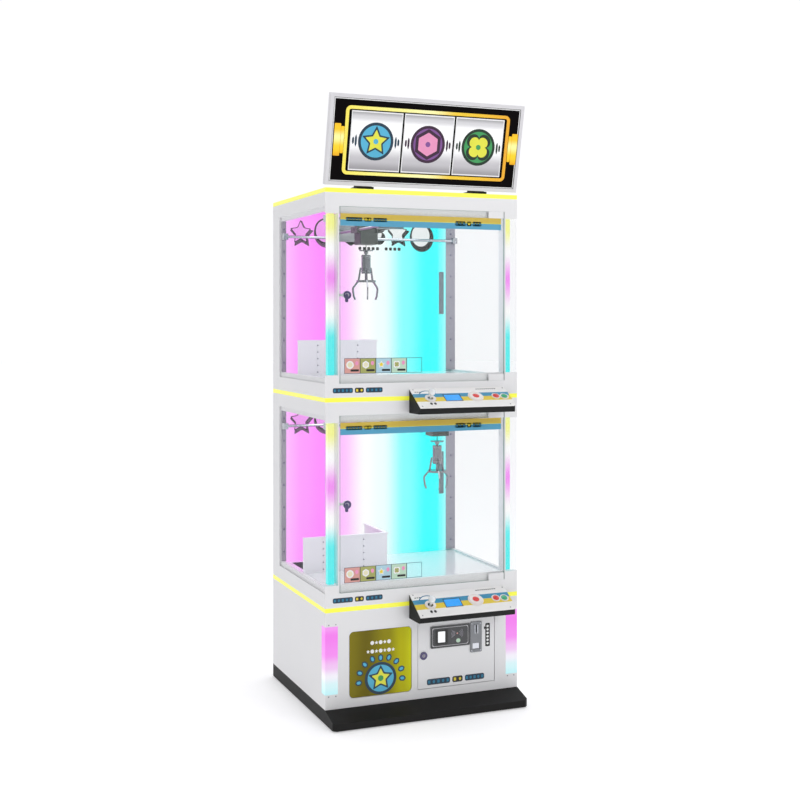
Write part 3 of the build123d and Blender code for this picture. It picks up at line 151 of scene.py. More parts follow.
@dataclass(frozen=True)
class Finish:
    """A surface whose colour drifts a little, with a fine grain in its gloss and its relief."""

    name: str
    colour: str
    drift: str
    grain_mm: float = 1.5
    relief_mm: float = 0.01
    drift_mm: float = 300.0
    roughness: float = 0.4
    spread: float = 0.06
    metallic: float = 0.0
    ior: float = 1.5
    coat: float = 0.0
    alpha: float = 1.0
    glow: float = 0.0
    specular: float = 0.5
    stretch: tuple[float, float, float] = (1.0, 1.0, 1.0)

    def tone(self, tree: bpy.types.NodeTree, coordinates: bpy.types.NodeSocket) -> bpy.types.NodeSocket:
        """Makes the colour.

        Args:
            tree: the material's node tree.
            coordinates: the object coordinates.

        Returns:
            The colour's output socket.
        """
        cloud = add_node(
            tree,
            "ShaderNodeTexNoise",
            inputs={"Vector": coordinates, "Scale": 1 / (self.drift_mm * MM), "Detail": 3.0},
        )
        mix = add_node(
            tree,
            "ShaderNodeMix",
            {"data_type": "RGBA"},
            {0: cloud.outputs[0], 6: linear(self.colour), 7: linear(self.drift)},
        )
        return mix.outputs[2]

    def build(self) -> bpy.types.Material:
        """Makes the material, or finds it again.

        Returns:
            The material.
        """
        known = bpy.data.materials.get(self.name)
        if known is not None:
            return known
        material = bpy.data.materials.new(self.name)
        material.use_nodes = True
        tree = material.node_tree
        shader = tree.nodes["Principled BSDF"]
        coordinates = add_node(tree, "ShaderNodeTexCoord").outputs["Object"]
        colour = self.tone(tree, coordinates)
        if self.glow < LIT:
            tree.links.new(colour, shader.inputs["Base Color"])
        else:
            shader.inputs["Base Color"].default_value = linear(UNLIT)
        grained = add_node(tree, "ShaderNodeMapping", inputs={"Vector": coordinates, "Scale": self.stretch})
        grain = add_node(
            tree,
            "ShaderNodeTexNoise",
            inputs={"Vector": grained.outputs[0], "Scale": 1 / (self.grain_mm * MM), "Detail": 2.0},
        )
        gloss = add_node(
            tree,
            "ShaderNodeMapRange",
            inputs={
                "Value": grain.outputs[0],
                "To Min": max(self.roughness - self.spread, 0.0),
                "To Max": self.roughness + self.spread,
            },
        )
        tree.links.new(gloss.outputs[0], shader.inputs["Roughness"])
        bump = add_node(
            tree,
            "ShaderNodeBump",
            inputs={"Height": grain.outputs[0], "Distance": self.relief_mm * MM, "Strength": 1.0},
        )
        tree.links.new(bump.outputs[0], shader.inputs["Normal"])
        shader.inputs["Metallic"].default_value = self.metallic
        shader.inputs["Coat Weight"].default_value = self.coat
        shader.inputs["Specular IOR Level"].default_value = self.specular
        shader.inputs["Alpha"].default_value = self.alpha
        if not self.metallic:
            shader.inputs["IOR"].default_value = self.ior
        if self.glow:
            tree.links.new(colour, shader.inputs["Emission Color"])
            shader.inputs["Emission Strength"].default_value = self.glow
        return material


@dataclass(frozen=True)
class BandedFinish(Finish):
    """A finish whose colour follows stops along one axis of the frame."""

    axis: Axis = Axis.Z
    stops: tuple[tuple[float, str], ...] = ()
    hard: bool = False

    def tone(self, tree: bpy.types.NodeTree, coordinates: bpy.types.NodeSocket) -> bpy.types.NodeSocket:
        """Makes the colour from the stops, which are frame millimetres along the axis.

        Args:
            tree: the material's node tree.
            coordinates: the object coordinates.

        Returns:
            The colour's output socket.
        """
        split = add_node(tree, "ShaderNodeSeparateXYZ", inputs={"Vector": coordinates})
        low, high = self.stops[0][0], self.stops[-1][0]
        along = add_node(
            tree,
            "ShaderNodeMapRange",
            inputs={"Value": split.outputs[self.axis.value], "From Min": low * MM, "From Max": high * MM},
        )
        ramp = add_node(tree, "ShaderNodeValToRGB", inputs={"Fac": along.outputs[0]})
        ramp.color_ramp.interpolation = "CONSTANT" if self.hard else "EASE"
        elements = ramp.color_ramp.elements
        while len(elements) < len(self.stops):
            elements.new(0.5)
        for element, (position, code) in zip(elements, self.stops):
            element.position = (position - low) / (high - low)
            element.color = linear(code)
        return ramp.outputs[0]


def by_height(base: float, colours: tuple[tuple[float, str], ...]) -> tuple[tuple[float, str], ...]:
    """Stops for one light bar, from heights above its tier's base.

    Args:
        base: the tier's base height.
        colours: pairs of height above the base and colour, rising.

    Returns:
        The stops as heights above the floor.
    """
    return tuple((base + height, code) for height, code in colours)


TIER_BASES = (416.5, 1200.0)
# Colours up the light bars: heights from the floor in the base, and above each deck's base.
BASE_GLOW = (
    (111.0, "#BFF2F8"),
    (145.0, "#D4F4F8"),
    (178.0, "#F2F0FA"),
    (215.0, "#F2C4F4"),
    (262.0, "#F58CF2"),
    (330.0, "#F47CEF"),
    (364.0, "#F79CF4"),
)
TIER_GLOW = (
    (100.0, "#3DF0F0"),
    (235.0, "#4DF0F0"),
    (340.0, "#FFFFFF"),
    (467.0, "#F58CF5"),
    (577.0, "#FFFFFF"),
    (670.0, "#F7F98C"),
)
BAR_STOPS = BASE_GLOW + by_height(TIER_BASES[0], TIER_GLOW) + by_height(TIER_BASES[1], TIER_GLOW)

# Powder coat, sprayed and baked: a fine orange peel that softens its highlights.
POWDER_WHITE = Finish("white_powder_coat", "#F1F1F1", "#ECECEE", 2.2, 0.012, roughness=0.42, coat=0.1)
# Melamine board: hard, smooth and a little duller than the coated metal.
MELAMINE_WHITE = Finish("white_melamine_board", "#F0F0F0", "#EAEAEC", 1.2, 0.006, roughness=0.36)
# Black powder coat on the weighted tray, coarser because it is walked on.
POWDER_BLACK = Finish(
    "black_powder_coat", "#1C1B1A", "#141413", 1.6, 0.03, roughness=0.58, spread=0.1, specular=0.22
)
# Moulded black ABS with a spark-eroded texture.
ABS_BLACK = Finish(
    "black_moulded_abs", "#0E100F", "#090B0A", 0.9, 0.02, roughness=0.5, ior=1.53, specular=0.2
)
# Edge-lit acrylic strip, bright as if fluorescent.
ACRYLIC_YELLOW = Finish(
    "fluorescent_yellow_acrylic", "#F4F440", "#F0F058", 2.0, 0.004, roughness=0.25, glow=0.28
)
# Extruded opal acrylic over light bars, which spreads each colour into the next.
OPAL_BAR = BandedFinish(
    "opal_acrylic_light_bar", "#FFFFFF", "#FFFFFF", 2.0, 0.004, roughness=0.35, glow=0.96, stops=BAR_STOPS
)
# Opal panel lit from magenta at the left through white to cyan at the right.
OPAL_BACK = BandedFinish(
    "opal_acrylic_back_light",
    "#FFFFFF",
    "#FFFFFF",
    3.0,
    0.004,
    roughness=0.4,
    glow=1.0,
    axis=Axis.X,
    stops=(
        (-376.0, "#FFB4FF"),
        (-300.0, "#FF96FF"),
        (-215.0, "#FF86FF"),
        (-130.0, "#FFBEFF"),
        (-20.0, "#FFFFFF"),
        (50.0, "#F0FFFF"),
        (160.0, "#7BFFFF"),
        (262.0, "#00FFFF"),
        (310.0, "#10FFFF"),
        (325.0, "#66FFFF"),
        (352.0, "#9CFFFF"),
    ),
)
# Gloss laminate on the playfields: hard, with a clear reflection over white.
FLOOR_WHITE = Finish("gloss_white_laminate", "#F4F5F7", "#EDEFF2", 2.0, 0.004, roughness=0.14, coat=0.4)
# Frosted cast acrylic: light spreads in it, so it is even and soft. A faint painted glow stands in for the
# back light shining through it.
GUARD_WHITE_PAINTED_GLOW = Finish(
    "frosted_white_acrylic_painted_glow", "#F6F5FA", "#EEEDF4", 1.2, 0.008, roughness=0.3, alpha=0.92, glow=0.1
)
# Grey paint on folded steel strips, satin.
STRIP_GREY = Finish("grey_painted_steel", "#A9A5B0", "#9C98A4", 1.4, 0.012, roughness=0.45)
# Toughened float glass, clean and clear, with a faint reflection.
TOUGH_GLASS = Finish(
    "toughened_clear_glass",
    "#C4D2CE",
    "#BCCAC6",
    60.0,
    0.002,
    roughness=0.02,
    spread=0.01,
    ior=1.52,
    alpha=0.04,
)
# Ground and polished edge of the float glass, where its green shows.
GLASS_EDGE = Finish(
    "polished_glass_edge", "#A9C6BE", "#94B4AB", 2.0, 0.004, 60.0, roughness=0.12, ior=1.52, alpha=0.75
)
# Cast acrylic windows and light covers: clear, a little softer in its shine than glass.
CLEAR_ACRYLIC = Finish(
    "clear_cast_acrylic",
    "#CBD0D4",
    "#C3C9CE",
    60.0,
    0.002,
    roughness=0.03,
    spread=0.02,
    ior=1.49,
    alpha=0.04,
)
# Chromium plate over polished steel, with faint polishing marks.
CHROME = Finish(
    "chromium_plated_steel",
    "#D9DBE0",
    "#C9CCD3",
    0.8,
    0.002,
    60.0,
    roughness=0.1,
    spread=0.05,
    metallic=1.0,
)
# Polished steel of the claws, a little darker than the chromium plate.
CLAW_STEEL = Finish(
    "polished_claw_steel", "#9A9DA2", "#84878C", 0.8, 0.003, 30.0, roughness=0.22, metallic=1.0
)
# Ground rod: fine lines round the bar.
GROUND_ROD = Finish(
    "ground_steel_rod",
    "#C3C6CC",
    "#B2B5BC",
    0.5,
    0.003,
    80.0,
    roughness=0.2,
    metallic=1.0,
    stretch=(6.0, 1.0, 1.0),
)
# Zinc plate with its soft cloudy sheen.
ZINC = Finish(
    "zinc_plated_steel", "#A7A9AC", "#8F9296", 6.0, 0.01, 25.0, roughness=0.38, spread=0.12, metallic=1.0
)
# Stainless sheet brushed upright.
BRUSHED = Finish(
    "brushed_stainless_steel",
    "#8A8C8F",
    "#77797D",
    0.35,
    0.01,
    40.0,
    roughness=0.34,
    metallic=1.0,
    stretch=(1.0, 1.0, 0.03),
)
# Clear-anodised aluminium extrusion.
ANODISED = Finish(
    "silver_anodised_aluminium", "#E2E1E3", "#D6D5D8", 0.6, 0.004, 90.0, roughness=0.36, metallic=0.45
)
# Grey hammered enamel on the hoist motor box.
MOTOR_GREY = Finish("grey_motor_enamel", "#4C504D", "#3B3F3C", 3.0, 0.05, 40.0, roughness=0.42)
# Yellow-passivated gear case.
GOLD_ZINC = Finish(
    "yellow_passivated_steel", "#B4933F", "#8E7430", 3.0, 0.01, 20.0, roughness=0.36, metallic=1.0
)
# Gold-lacquered aluminium trim with a painted highlight: its colour is painted brightest near its middle,
# and a faint painted glow is added.
GOLD_TRIM_PAINTED_HIGHLIGHT = BandedFinish(
    "gold_lacquered_aluminium_painted_highlight",
    "#F6CF3A",
    "#E8A91E",
    1.0,
    0.004,
    roughness=0.28,
    metallic=0.35,
    glow=0.12,
    axis=Axis.X,
    stops=(
        (-399.0, "#F7E352"), (-150.0, "#F9F08A"), (0.0, "#FFF7B0"), (120.0, "#F0C838"), (399.0, "#EBA628")
    ),
)
# Turned gold knobs with a painted highlight: their colour is painted bright across the middle of their
# height and darker above and below, with a faint painted glow.
GOLD_KNOB_PAINTED_HIGHLIGHT = BandedFinish(
    "gold_lacquered_knob_painted_highlight",
    "#F6CF3A",
    "#E8A91E",
    1.0,
    0.004,
    roughness=0.2,
    metallic=0.5,
    glow=0.15,
    stops=(
        (2100.0, "#D98F12"),
        (2150.0, "#FFD12A"),
        (2185.0, "#FFF6A0"),
        (2215.0, "#FFC928"),
        (2270.0, "#D98F12"),
    ),
)
# Moulded nitrile rubber: matt, and never quite black.
RUBBER = Finish("black_nitrile_rubber", "#1C1C1C", "#262626", 1.0, 0.03, roughness=0.7)
# Gold-tinted flap with painted light: its colour is painted darker at the left and brighter towards its
# right side, with a faint painted glow.
FLAP_GOLD_PAINTED_LIGHT = BandedFinish(
    "gold_tinted_polycarbonate_painted_light",
    "#8A8418",
    "#C4C20F",
    30.0,
    0.01,
    roughness=0.12,
    glow=0.14,
    specular=0.15,
    axis=Axis.X,
    stops=(
        (-305.0, "#7E7416"),
        (-235.0, "#6A600E"),
        (-150.0, "#8C8410"),
        (-90.0, "#B4B00A"),
        (-51.0, "#C2C414"),
    ),
)
# How far the console's deck comes forward for each millimetre down its slope.
DECK_SLOPE = 0.8582
# Screen-printed polycarbonate deck: white, blue, yellow, white down the slope.
DECK_PRINT = BandedFinish(
    "screen_printed_polycarbonate",
    "#FFFFFF",
    "#FFFFFF",
    1.0,
    0.006,
    roughness=0.3,
    coat=0.2,
    axis=Axis.Y,
    hard=True,
    stops=(
        (FRONT / MM - 140 * DECK_SLOPE, "#F3F2F0"),
        (FRONT / MM - 90 * DECK_SLOPE, "#E6CC30"),
        (FRONT / MM - 62 * DECK_SLOPE, "#2E90B8"),
        (FRONT / MM - 38 * DECK_SLOPE, "#F5F4F3"),
        (FRONT / MM, "#F5F4F3"),
    ),
)
# Liquid-crystal display behind clear plastic, lit blue.
DISPLAY_BLUE = Finish("lit_blue_display", "#1C9CF8", "#2CA6FC", 4.0, 0.002, 60.0, roughness=0.12, glow=0.95)
# The same display, lit white.
DISPLAY_WHITE = Finish(
    "lit_white_display", "#FFFFFF", "#F8FCFF", 4.0, 0.002, 60.0, roughness=0.12, glow=1.0
)
# Moulded clear polycarbonate ball, polished, with a hard bright highlight.
CLEAR_BALL = Finish(
    "clear_polycarbonate_ball", "#F2F5F7", "#E6ECF0", 8.0, 0.01, 30.0, roughness=0.06, ior=1.58, coat=0.6
)
# Injection-moulded translucent acrylic caps, bright where their lamps shine through.
BUTTON_WHITE = Finish(
    "white_translucent_button", "#F6F1EF", "#EFE6E2", 3.0, 0.01, 30.0, roughness=0.18, coat=0.5
)
BUTTON_RED = Finish(
    "red_translucent_button", "#D8322E", "#C42623", 3.0, 0.01, 30.0, roughness=0.16, coat=0.5, glow=0.15
)
BUTTON_GREEN = Finish(
    "green_translucent_button", "#2FAE78", "#23996A", 3.0, 0.01, 30.0, roughness=0.16, coat=0.5, glow=0.12
)
# Dark smoked face of the card reader.
READER_FACE = Finish("smoked_reader_window", "#4A4B4D", "#404143", 1.0, 0.004, roughness=0.2, coat=0.2)
# Braided nylon cord: a coarse weave that gives no highlight.
BRAID = Finish(
    "braided_nylon_cord", "#3A3A3C", "#1E1E20", 0.8, 0.25, 3.0, roughness=0.75, stretch=(1.0, 1.0, 0.5)
)
# Zinc die castings plated a dull violet-grey.
LOCK_METAL = Finish(
    "violet_plated_lock", "#6A6485", "#4F4A68", 0.8, 0.01, 10.0, roughness=0.3, metallic=0.8
)
# Acrylic sheet printed black on its back: deep and even, with a weak reflection.
FACE_BLACK = Finish(
    "black_printed_acrylic", "#060304", "#0B0708", 2.0, 0.003, roughness=0.3, ior=1.49, specular=0.05
)
# Acrylic printed with the shading of a round reel: dark at its top and its bottom.
REEL_SHADE = BandedFinish(
    "reel_shaded_acrylic",
    "#FFFFFF",
    "#FFFFFF",
    2.0,
    0.004,
    roughness=0.3,
    glow=0.1,
    stops=(
        (2071.0, "#98969A"),
        (2108.0, "#C2C0C4"),
        (2165.0, "#FDFDFD"),
        (2240.0, "#FFFFFF"),
        (2262.0, "#D6D5D8"),
        (2282.0, "#A4A3A6"),
    ),
)


def ink(name: str, code: str, shade: str, alpha: float = 1.0) -> Finish:
    """A vinyl print in one ink, whose colour drifts with the thickness of the ink film.

    Args:
        name: the ink's plain name.
        code: its colour.
        shade: the colour that it drifts to.
        alpha: how opaque the film is.

    Returns:
        The finish.
    """
    return Finish(f"{name}_vinyl_print", code, shade, 0.8, 0.004, 40.0, roughness=0.34, alpha=alpha)


# Inks of the vinyl prints: one flat film each, satin, and thinner in places.
NAVY = ink("navy", "#123B52", "#0E3043")
TEAL = ink("teal", "#1D7FA6", "#187296")
YELLOW = ink("yellow", "#F2DD3C", "#EBD22C")
BLACK = ink("black", "#161616", "#202020")
WHITE = ink("white", "#FAFAFA", "#F2F2F2")
GOLD_BAND = ink("gold_band", "#DCC04A", "#D4B63E", 0.93)
BLUE_BAND = ink("blue_band", "#58ADD0", "#50A4C8", 0.93)
SKY = ink("sky", "#58BEE2", "#4CB0D4")
PINK = ink("pink", "#F5A3CB", "#EE92C0")
PURPLE = ink("purple", "#8A559E", "#7B4890")
PLUM = ink("plum", "#3A1238", "#300D2E")
GREEN = ink("green", "#3FA85E", "#369A54")
FOREST = ink("forest", "#063018", "#052812")
LIME = ink("lime", "#F2F24B", "#E6E63E")
CORAL = ink("coral", "#E3A79F", "#D99A92")
OLIVE = ink("olive", "#B2B46A", "#A5A75E")
MINT = ink("mint", "#CBE6CF", "#BEDFC4")
PALE_BLUE = ink("pale_blue", "#BBDDEA", "#ABD2E2")
CREAM = ink("cream", "#F1EBCB", "#E9E1BA")
# Translucent prints on the lit back panel, which shines through them.
BACKLIT_PINK = Finish(
    "backlit_pink_print", "#FFA6FF", "#FF9CFF", 0.8, 0.004, 40.0, roughness=0.34, glow=0.85
)
BACKLIT_WHITE = Finish(
    "backlit_white_print", "#F4FFFF", "#FFFFFF", 0.8, 0.004, 40.0, roughness=0.34, glow=0.85
)
# Opaque greys of the same prints.
GREY_BAR = ink("grey", "#7C8A92", "#6F7D86")
ROSE_GREY = ink("rose_grey", "#6A4A66", "#5C3F59")


# ---------------------------------------------------------------- shapes


class Outline(Enum):
    """The flat outlines that the generic prints are made of."""

    PANEL = "panel"
    DISC = "disc"
    STAR = "star"
    GEM = "gem"
    CLOVER = "clover"
    DROP = "drop"


OUTLINE_STEPS = {Outline.DISC: 40, Outline.STAR: 10, Outline.GEM: 6, Outline.CLOVER: 64, Outline.DROP: 40}


def outline_mesh(outline: Outline, width: float, height: float, corner: float) -> bmesh.types.BMesh:
    """Draws one flat outline about the origin.

    Args:
        outline: which outline.
        width: its width.
        height: its height.
        corner: the radius of its corners.

    Returns:
        A mesh of one face.
    """
    mesh = bmesh.new()
    if outline is Outline.PANEL:
        bmesh.ops.create_grid(mesh, x_segments=1, y_segments=1, size=0.5)
    else:
        bmesh.ops.create_circle(mesh, cap_ends=True, segments=OUTLINE_STEPS[outline], radius=0.5)
    if outline is Outline.STAR:
        turns = {vert: math.degrees(math.atan2(vert.co.y, vert.co.x)) for vert in mesh.verts}
        inner = [vert for vert, turn in turns.items() if round(turn - 90) % 72]
        bmesh.ops.scale(mesh, vec=(0.5, 0.5, 1.0), verts=inner)
    if outline is Outline.CLOVER:
        for vert in mesh.verts:
            turn = math.atan2(vert.co.y, vert.co.x)
            vert.co *= 0.6 + 0.4 * abs(math.sin(2 * turn)) ** 0.6
    if outline is Outline.DROP:
        for vert in mesh.verts:
            vert.co.x *= 1.0 - 0.75 * max(vert.co.y * 2, 0.0) ** 2
    bmesh.ops.scale(mesh, vec=(width, height, 1.0), verts=mesh.verts)
    if corner > 0:
        bmesh.ops.bevel(
            mesh,
            geom=mesh.verts[:],
            offset=corner,
            offset_type="OFFSET",
            segments=6,
            profile=0.5,
            affect="VERTICES",
            clamp_overlap=True,
            material=-1,
        )
    return mesh


def put_together(target: bmesh.types.BMesh, source: bmesh.types.BMesh, matrix: Matrix, slot: int) -> None:
    """Adds a mesh to another one in its place, and frees it.

    Args:
        target: the mesh that grows.
        source: the mesh that is added.
        matrix: its place.
        slot: the material slot of its faces.
    """
    bmesh.ops.transform(source, matrix=matrix, verts=source.verts)
    bmesh.ops.recalc_face_normals(source, faces=source.faces[:])
    for face in source.faces:
        face.material_index = slot
    data = bpy.data.meshes.new("carrier")
    source.to_mesh(data)
    source.free()
    target.from_mesh(data)
    bpy.data.meshes.remove(data)


@dataclass
class Piece:
    """One visible piece: solids gathered in one mesh, with a material slot for each finish."""

    name: str
    body: str
    slot: str
    plane: Matrix = field(default_factory=Matrix)
    mesh: bmesh.types.BMesh = field(default_factory=bmesh.new)
    finishes: list[Finish] = field(default_factory=list)

    def slot_of(self, finish: Finish) -> int:
        """Returns the material slot of a finish, which it adds when it is new."""
        if finish not in self.finishes:
            self.finishes.append(finish)
        return self.finishes.index(finish)

    def add(self, source: bmesh.types.BMesh, finish: Finish, matrix: Matrix | None = None) -> None:
        """Adds a solid drawn in millimetres on the piece's plane.

        Args:
            source: the solid's mesh.
            finish: its finish.
            matrix: its place on the plane.
        """
        put_together(self.mesh, source, self.plane @ (matrix or Matrix()), self.slot_of(finish))

    def print_shape(
        self,
        outline: Outline,
        at: tuple[float, float],
        size: tuple[float, float],
        finish: Finish,
        lift: float = 0.0,
        thick: float = FILM,
        corner: float = 0.0,
        turn: float = 0.0,
    ) -> None:
        """Adds a thin solid of one ink.

        Args:
            outline: its outline.
            at: its centre on the plane.
            size: its width and height.
            finish: its ink.
            lift: how far it starts off the plane.
            thick: its thickness.
            corner: the radius of its corners.
            turn: degrees that it is turned to the left.
        """
        shape = outline_mesh(outline, *size, corner)
        grown = bmesh.ops.extrude_face_region(shape, geom=shape.faces[:])
        top = [item for item in grown["geom"] if isinstance(item, bmesh.types.BMVert)]
        bmesh.ops.translate(shape, vec=(0.0, 0.0, thick), verts=top)
        spot = Matrix.Translation((*at, lift)) @ Matrix.Rotation(math.radians(turn), 4, "Z")
        self.add(shape, finish, spot)

    def block(
        self,
        low: tuple[float, float, float],
        high: tuple[float, float, float],
        finish: Finish,
        edge: float = 0.0,
    ) -> None:
        """Adds a box with softened edges.

        Args:
            low: its lowest corner on the plane.
            high: its highest corner.
            finish: its finish.
            edge: the bevel's width.
        """
        shape = bmesh.new()
        bmesh.ops.create_cube(shape, size=1.0)
        size = [b - a for a, b in zip(low, high)]
        middle = [(a + b) / 2 for a, b in zip(low, high)]
        bmesh.ops.scale(shape, vec=size, verts=shape.verts)
        if edge:
            bmesh.ops.bevel(
                shape,
                geom=shape.edges[:],
                offset=edge,
                offset_type="OFFSET",
                segments=3,
                profile=0.5,
                affect="EDGES",
                clamp_overlap=True,
                material=-1,
            )
        self.add(shape, finish, Matrix.Translation(middle))

    def turned(
        self,
        at: tuple[float, float, float],
        profile: tuple[tuple[float, float], ...],
        finish: Finish,
        turn: Matrix | None = None,
        steps: int = 32,
    ) -> None:
        """Adds a turned solid about its own z axis.

        Args:
            at: the foot of its axis on the plane.
            profile: radius and height pairs from the axis at the foot to the axis at the top.
            finish: its finish.
            turn: a rotation of its axis.
            steps: how many steps go round.
        """
        shape = bmesh.new()
        verts = [shape.verts.new((radius, 0.0, height)) for radius, height in profile]
        edges = [shape.edges.new(pair) for pair in zip(verts, verts[1:])]
        bmesh.ops.spin(
            shape,
            geom=verts + edges,
            cent=(0, 0, 0),
            axis=(0, 0, 1),
            angle=2 * math.pi,
            steps=steps,
            use_merge=True,
            use_duplicate=False,
        )
        bmesh.ops.remove_doubles(shape, verts=shape.verts[:], dist=1e-4)
        self.add(shape, finish, Matrix.Translation(at) @ (turn or Matrix()))

    def screw(self, at: tuple[float, float], radius: float, finish: Finish, lift: float = 0.0) -> None:
        """Adds a domed socket screw head on the plane.

        Args:
            at: its centre.
            radius: its head's radius.
            finish: its finish.
            lift: how far its seat is off the plane.
        """
        profile = (
            (0.0, 0.0),
            (radius, 0.0),
            (radius, 0.25 * radius),
            (0.75 * radius, 0.5 * radius),
            (0.42 * radius, 0.6 * radius),
            (0.4 * radius, 0.3 * radius),
            (0.0, 0.3 * radius),
        )
        self.turned((*at, lift), profile, finish, steps=12)

    def build(self) -> bpy.types.Object:
        """Makes the object, which rides on its body.

        Returns:
            The finished object.
        """
        data = bpy.data.meshes.new(self.name)
        self.mesh.to_mesh(data)
        self.mesh.free()
        for finish in self.finishes:
            data.materials.append(finish.build())
        data.shade_smooth()
        data.set_sharp_from_angle(angle=CRISP)
        made = bpy.data.objects.new(self.name, data)
        bpy.context.scene.collection.objects.link(made)
        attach(made, self.body)
        LOG.info("built %s with %d faces on %s", self.name, len(data.polygons), self.body)
        return made


def plane(origin: Vector, right: Vector, up: Vector) -> Matrix:
    """A plane drawn on in millimetres, as a matrix into the frame.

    Args:
        origin: the plane's origin in the frame.
        right: its x direction.
        up: its y direction.

    Returns:
        The matrix, with its z axis off the surface.
    """
    out = right.cross(up)
    matrix = Matrix((right, up, out)).transposed().to_4x4()
    return Matrix.Translation(origin) @ matrix @ Matrix.Scale(MM, 4)


def front_plane(depth: float, base: float = 0.0) -> Matrix:
    """An upright plane that faces the player, at a depth behind the front face and a base height."""
    return plane(place(0, depth, base), RIGHT, UP)


def back_plane(depth: float, base: float = 0.0) -> Matrix:
    """An upright plane that faces away from the player, with x to the left of the cabinet."""
    return plane(place(0, depth, base), LEFT, UP)


def dress(node: str, finish: Finish) -> None:
    """Gives a CAD node its finish.

    Args:
        node: the node's name.
        finish: its finish.
    """
    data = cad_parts[node].data
    data.materials.clear()
    data.materials.append(finish.build())
    LOG.info("dressed %s in %s", node, finish.name)


def caption(piece: Piece, left: float, right: float, height: float, tall: float) -> None:
    """Prints a generic row of pills where such a machine carries its maker's line.

    Args:
        piece: the piece that carries the print.
        left: where the row starts.
        right: where it ends.
        height: the row's middle height.
        tall: the pills' height.
    """
    total = right - left
    pills = ((0.0, 0.4, NAVY, TEAL), (0.44, 0.62, BLACK, YELLOW), (0.66, 1.0, NAVY, TEAL))
    for start, end, finish, core in pills:
        middle = left + total * (start + end) / 2
        width = total * (end - start)
        piece.print_shape(Outline.PANEL, (middle, height), (width, tall), finish, corner=tall * 0.3)
        cells = max(round(width / (tall * 0.8)), 1)
        for cell in range(cells):
            spot = middle - width / 2 + width * (cell + 0.5) / cells
            mark = Outline.DISC if cell % 2 else Outline.PANEL
            piece.print_shape(mark, (spot, height), (tall * 0.42, tall * 0.5), core, FILM, LAYER)


# ---------------------------------------------------------------- studio

# Pale painted floor that gives off some light, so that it stays even far from the lamps.
STUDIO_FLOOR = Finish("pale_studio_floor", "#F2F2F3", "#EEEEEF", 8.0, 0.01, 900.0, roughness=0.7, glow=0.42)


@dataclass
class Studio:
    """The pale floor, the soft light and the camera."""

    floor_radius: float = 40.0
    camera_at: tuple[float, float, float] = (-1.8834, -4.6690, 1.5107)
    camera_turn: float = -22.143
    lens: float = 55.95
    sensor: float = 36.0
    shift: float = -0.1013
    playfield_lamp: tuple[float, float, float, float] = (300.0, 742.0, 0.5, 1.6)
    brightest: tuple[float, float, float] = (0.5, 0.85, 0.0)
    dim: float = 0.27
    bright: float = 1.03

    def build(self) -> None:
        """Makes the camera, the floor, the world's light and the lamps."""
        self.camera()
        self.floor()
        self.world()
        self.lamp("key_softbox", (2.2, -4.6, 3.6), (0.0, 0.0, 1.1), 2.6, 46.0)
        self.lamp("front_fill", (-1.6, -5.4, 2.2), (0.0, 0.0, 1.0), 2.4, 10.0)
        self.lamp("top_softbox", (0.2, -0.6, 5.2), (0.0, 0.0, 1.0), 2.6, 24.0)
        depth, rise, size, power = self.playfield_lamp
        for number, base in enumerate(TIER_BASES, start=1):
            above = place(0.0, depth, base + rise)
            self.lamp(f"playfield_lamp_{number}", tuple(above), tuple(above - UP), size, power)

    def camera(self) -> None:
        """Makes the camera level, with its frame shifted down."""
        data = bpy.data.cameras.new("camera")
        data.lens = self.lens
        data.sensor_width = self.sensor
        data.shift_y = self.shift
        eye = bpy.data.objects.new("camera", data)
        eye.location = self.camera_at
        eye.rotation_euler = (math.radians(90), 0.0, math.radians(self.camera_turn))
        bpy.context.scene.collection.objects.link(eye)
        bpy.context.scene.camera = eye
        bpy.context.scene.view_settings.view_transform = "Standard"

    def floor(self) -> None:
        """Makes the pale floor."""
        mesh = bmesh.new()
        bmesh.ops.create_circle(mesh, cap_ends=True, segments=96, radius=self.floor_radius)
        data = bpy.data.meshes.new("studio_floor")
        mesh.to_mesh(data)
        mesh.free()
        data.materials.append(STUDIO_FLOOR.build())
        floor = bpy.data.objects.new("studio_floor", data)
        bpy.context.scene.collection.objects.link(floor)

    def world(self) -> None:
        """Lights the room from all round, brighter behind the machine than on its left."""
        world = bpy.data.worlds.new("studio_world")
        bpy.context.scene.world = world
        world.use_nodes = True
        tree = world.node_tree
        direction = add_node(tree, "ShaderNodeTexCoord").outputs["Generated"]
        facing = add_node(
            tree, "ShaderNodeVectorMath", {"operation": "DOT_PRODUCT"}, {0: direction, 1: self.brightest}
        )
        level = add_node(
            tree,
            "ShaderNodeMapRange",
            inputs={
                "Value": facing.outputs["Value"],
                "From Min": -0.9,
                "From Max": 0.6,
                "To Min": self.dim,
                "To Max": self.bright,
            },
        )
        tree.links.new(level.outputs[0], tree.nodes["Background"].inputs["Strength"])
        tree.nodes["Background"].inputs["Color"].default_value = linear("#FDFDFF")

    def lamp(
        self,
        name: str,
        at: tuple[float, float, float],
        aim: tuple[float, float, float],
        size: float,
        power: float,
    ) -> None:
        """Makes one square soft box.

        Args:
            name: its name.
            at: its place in metres.
            aim: the point that it faces.
            size: its side in metres.
            power: its power in watts.
        """
        data = bpy.data.lights.new(name, "AREA")
        data.energy = power
        data.size = size
        lamp = bpy.data.objects.new(name, data)
        lamp.location = at
        lamp.rotation_euler = (Vector(aim) - Vector(at)).to_track_quat("-Z", "Y").to_euler()
        bpy.context.scene.collection.objects.link(lamp)


# ---------------------------------------------------------------- base cabinet


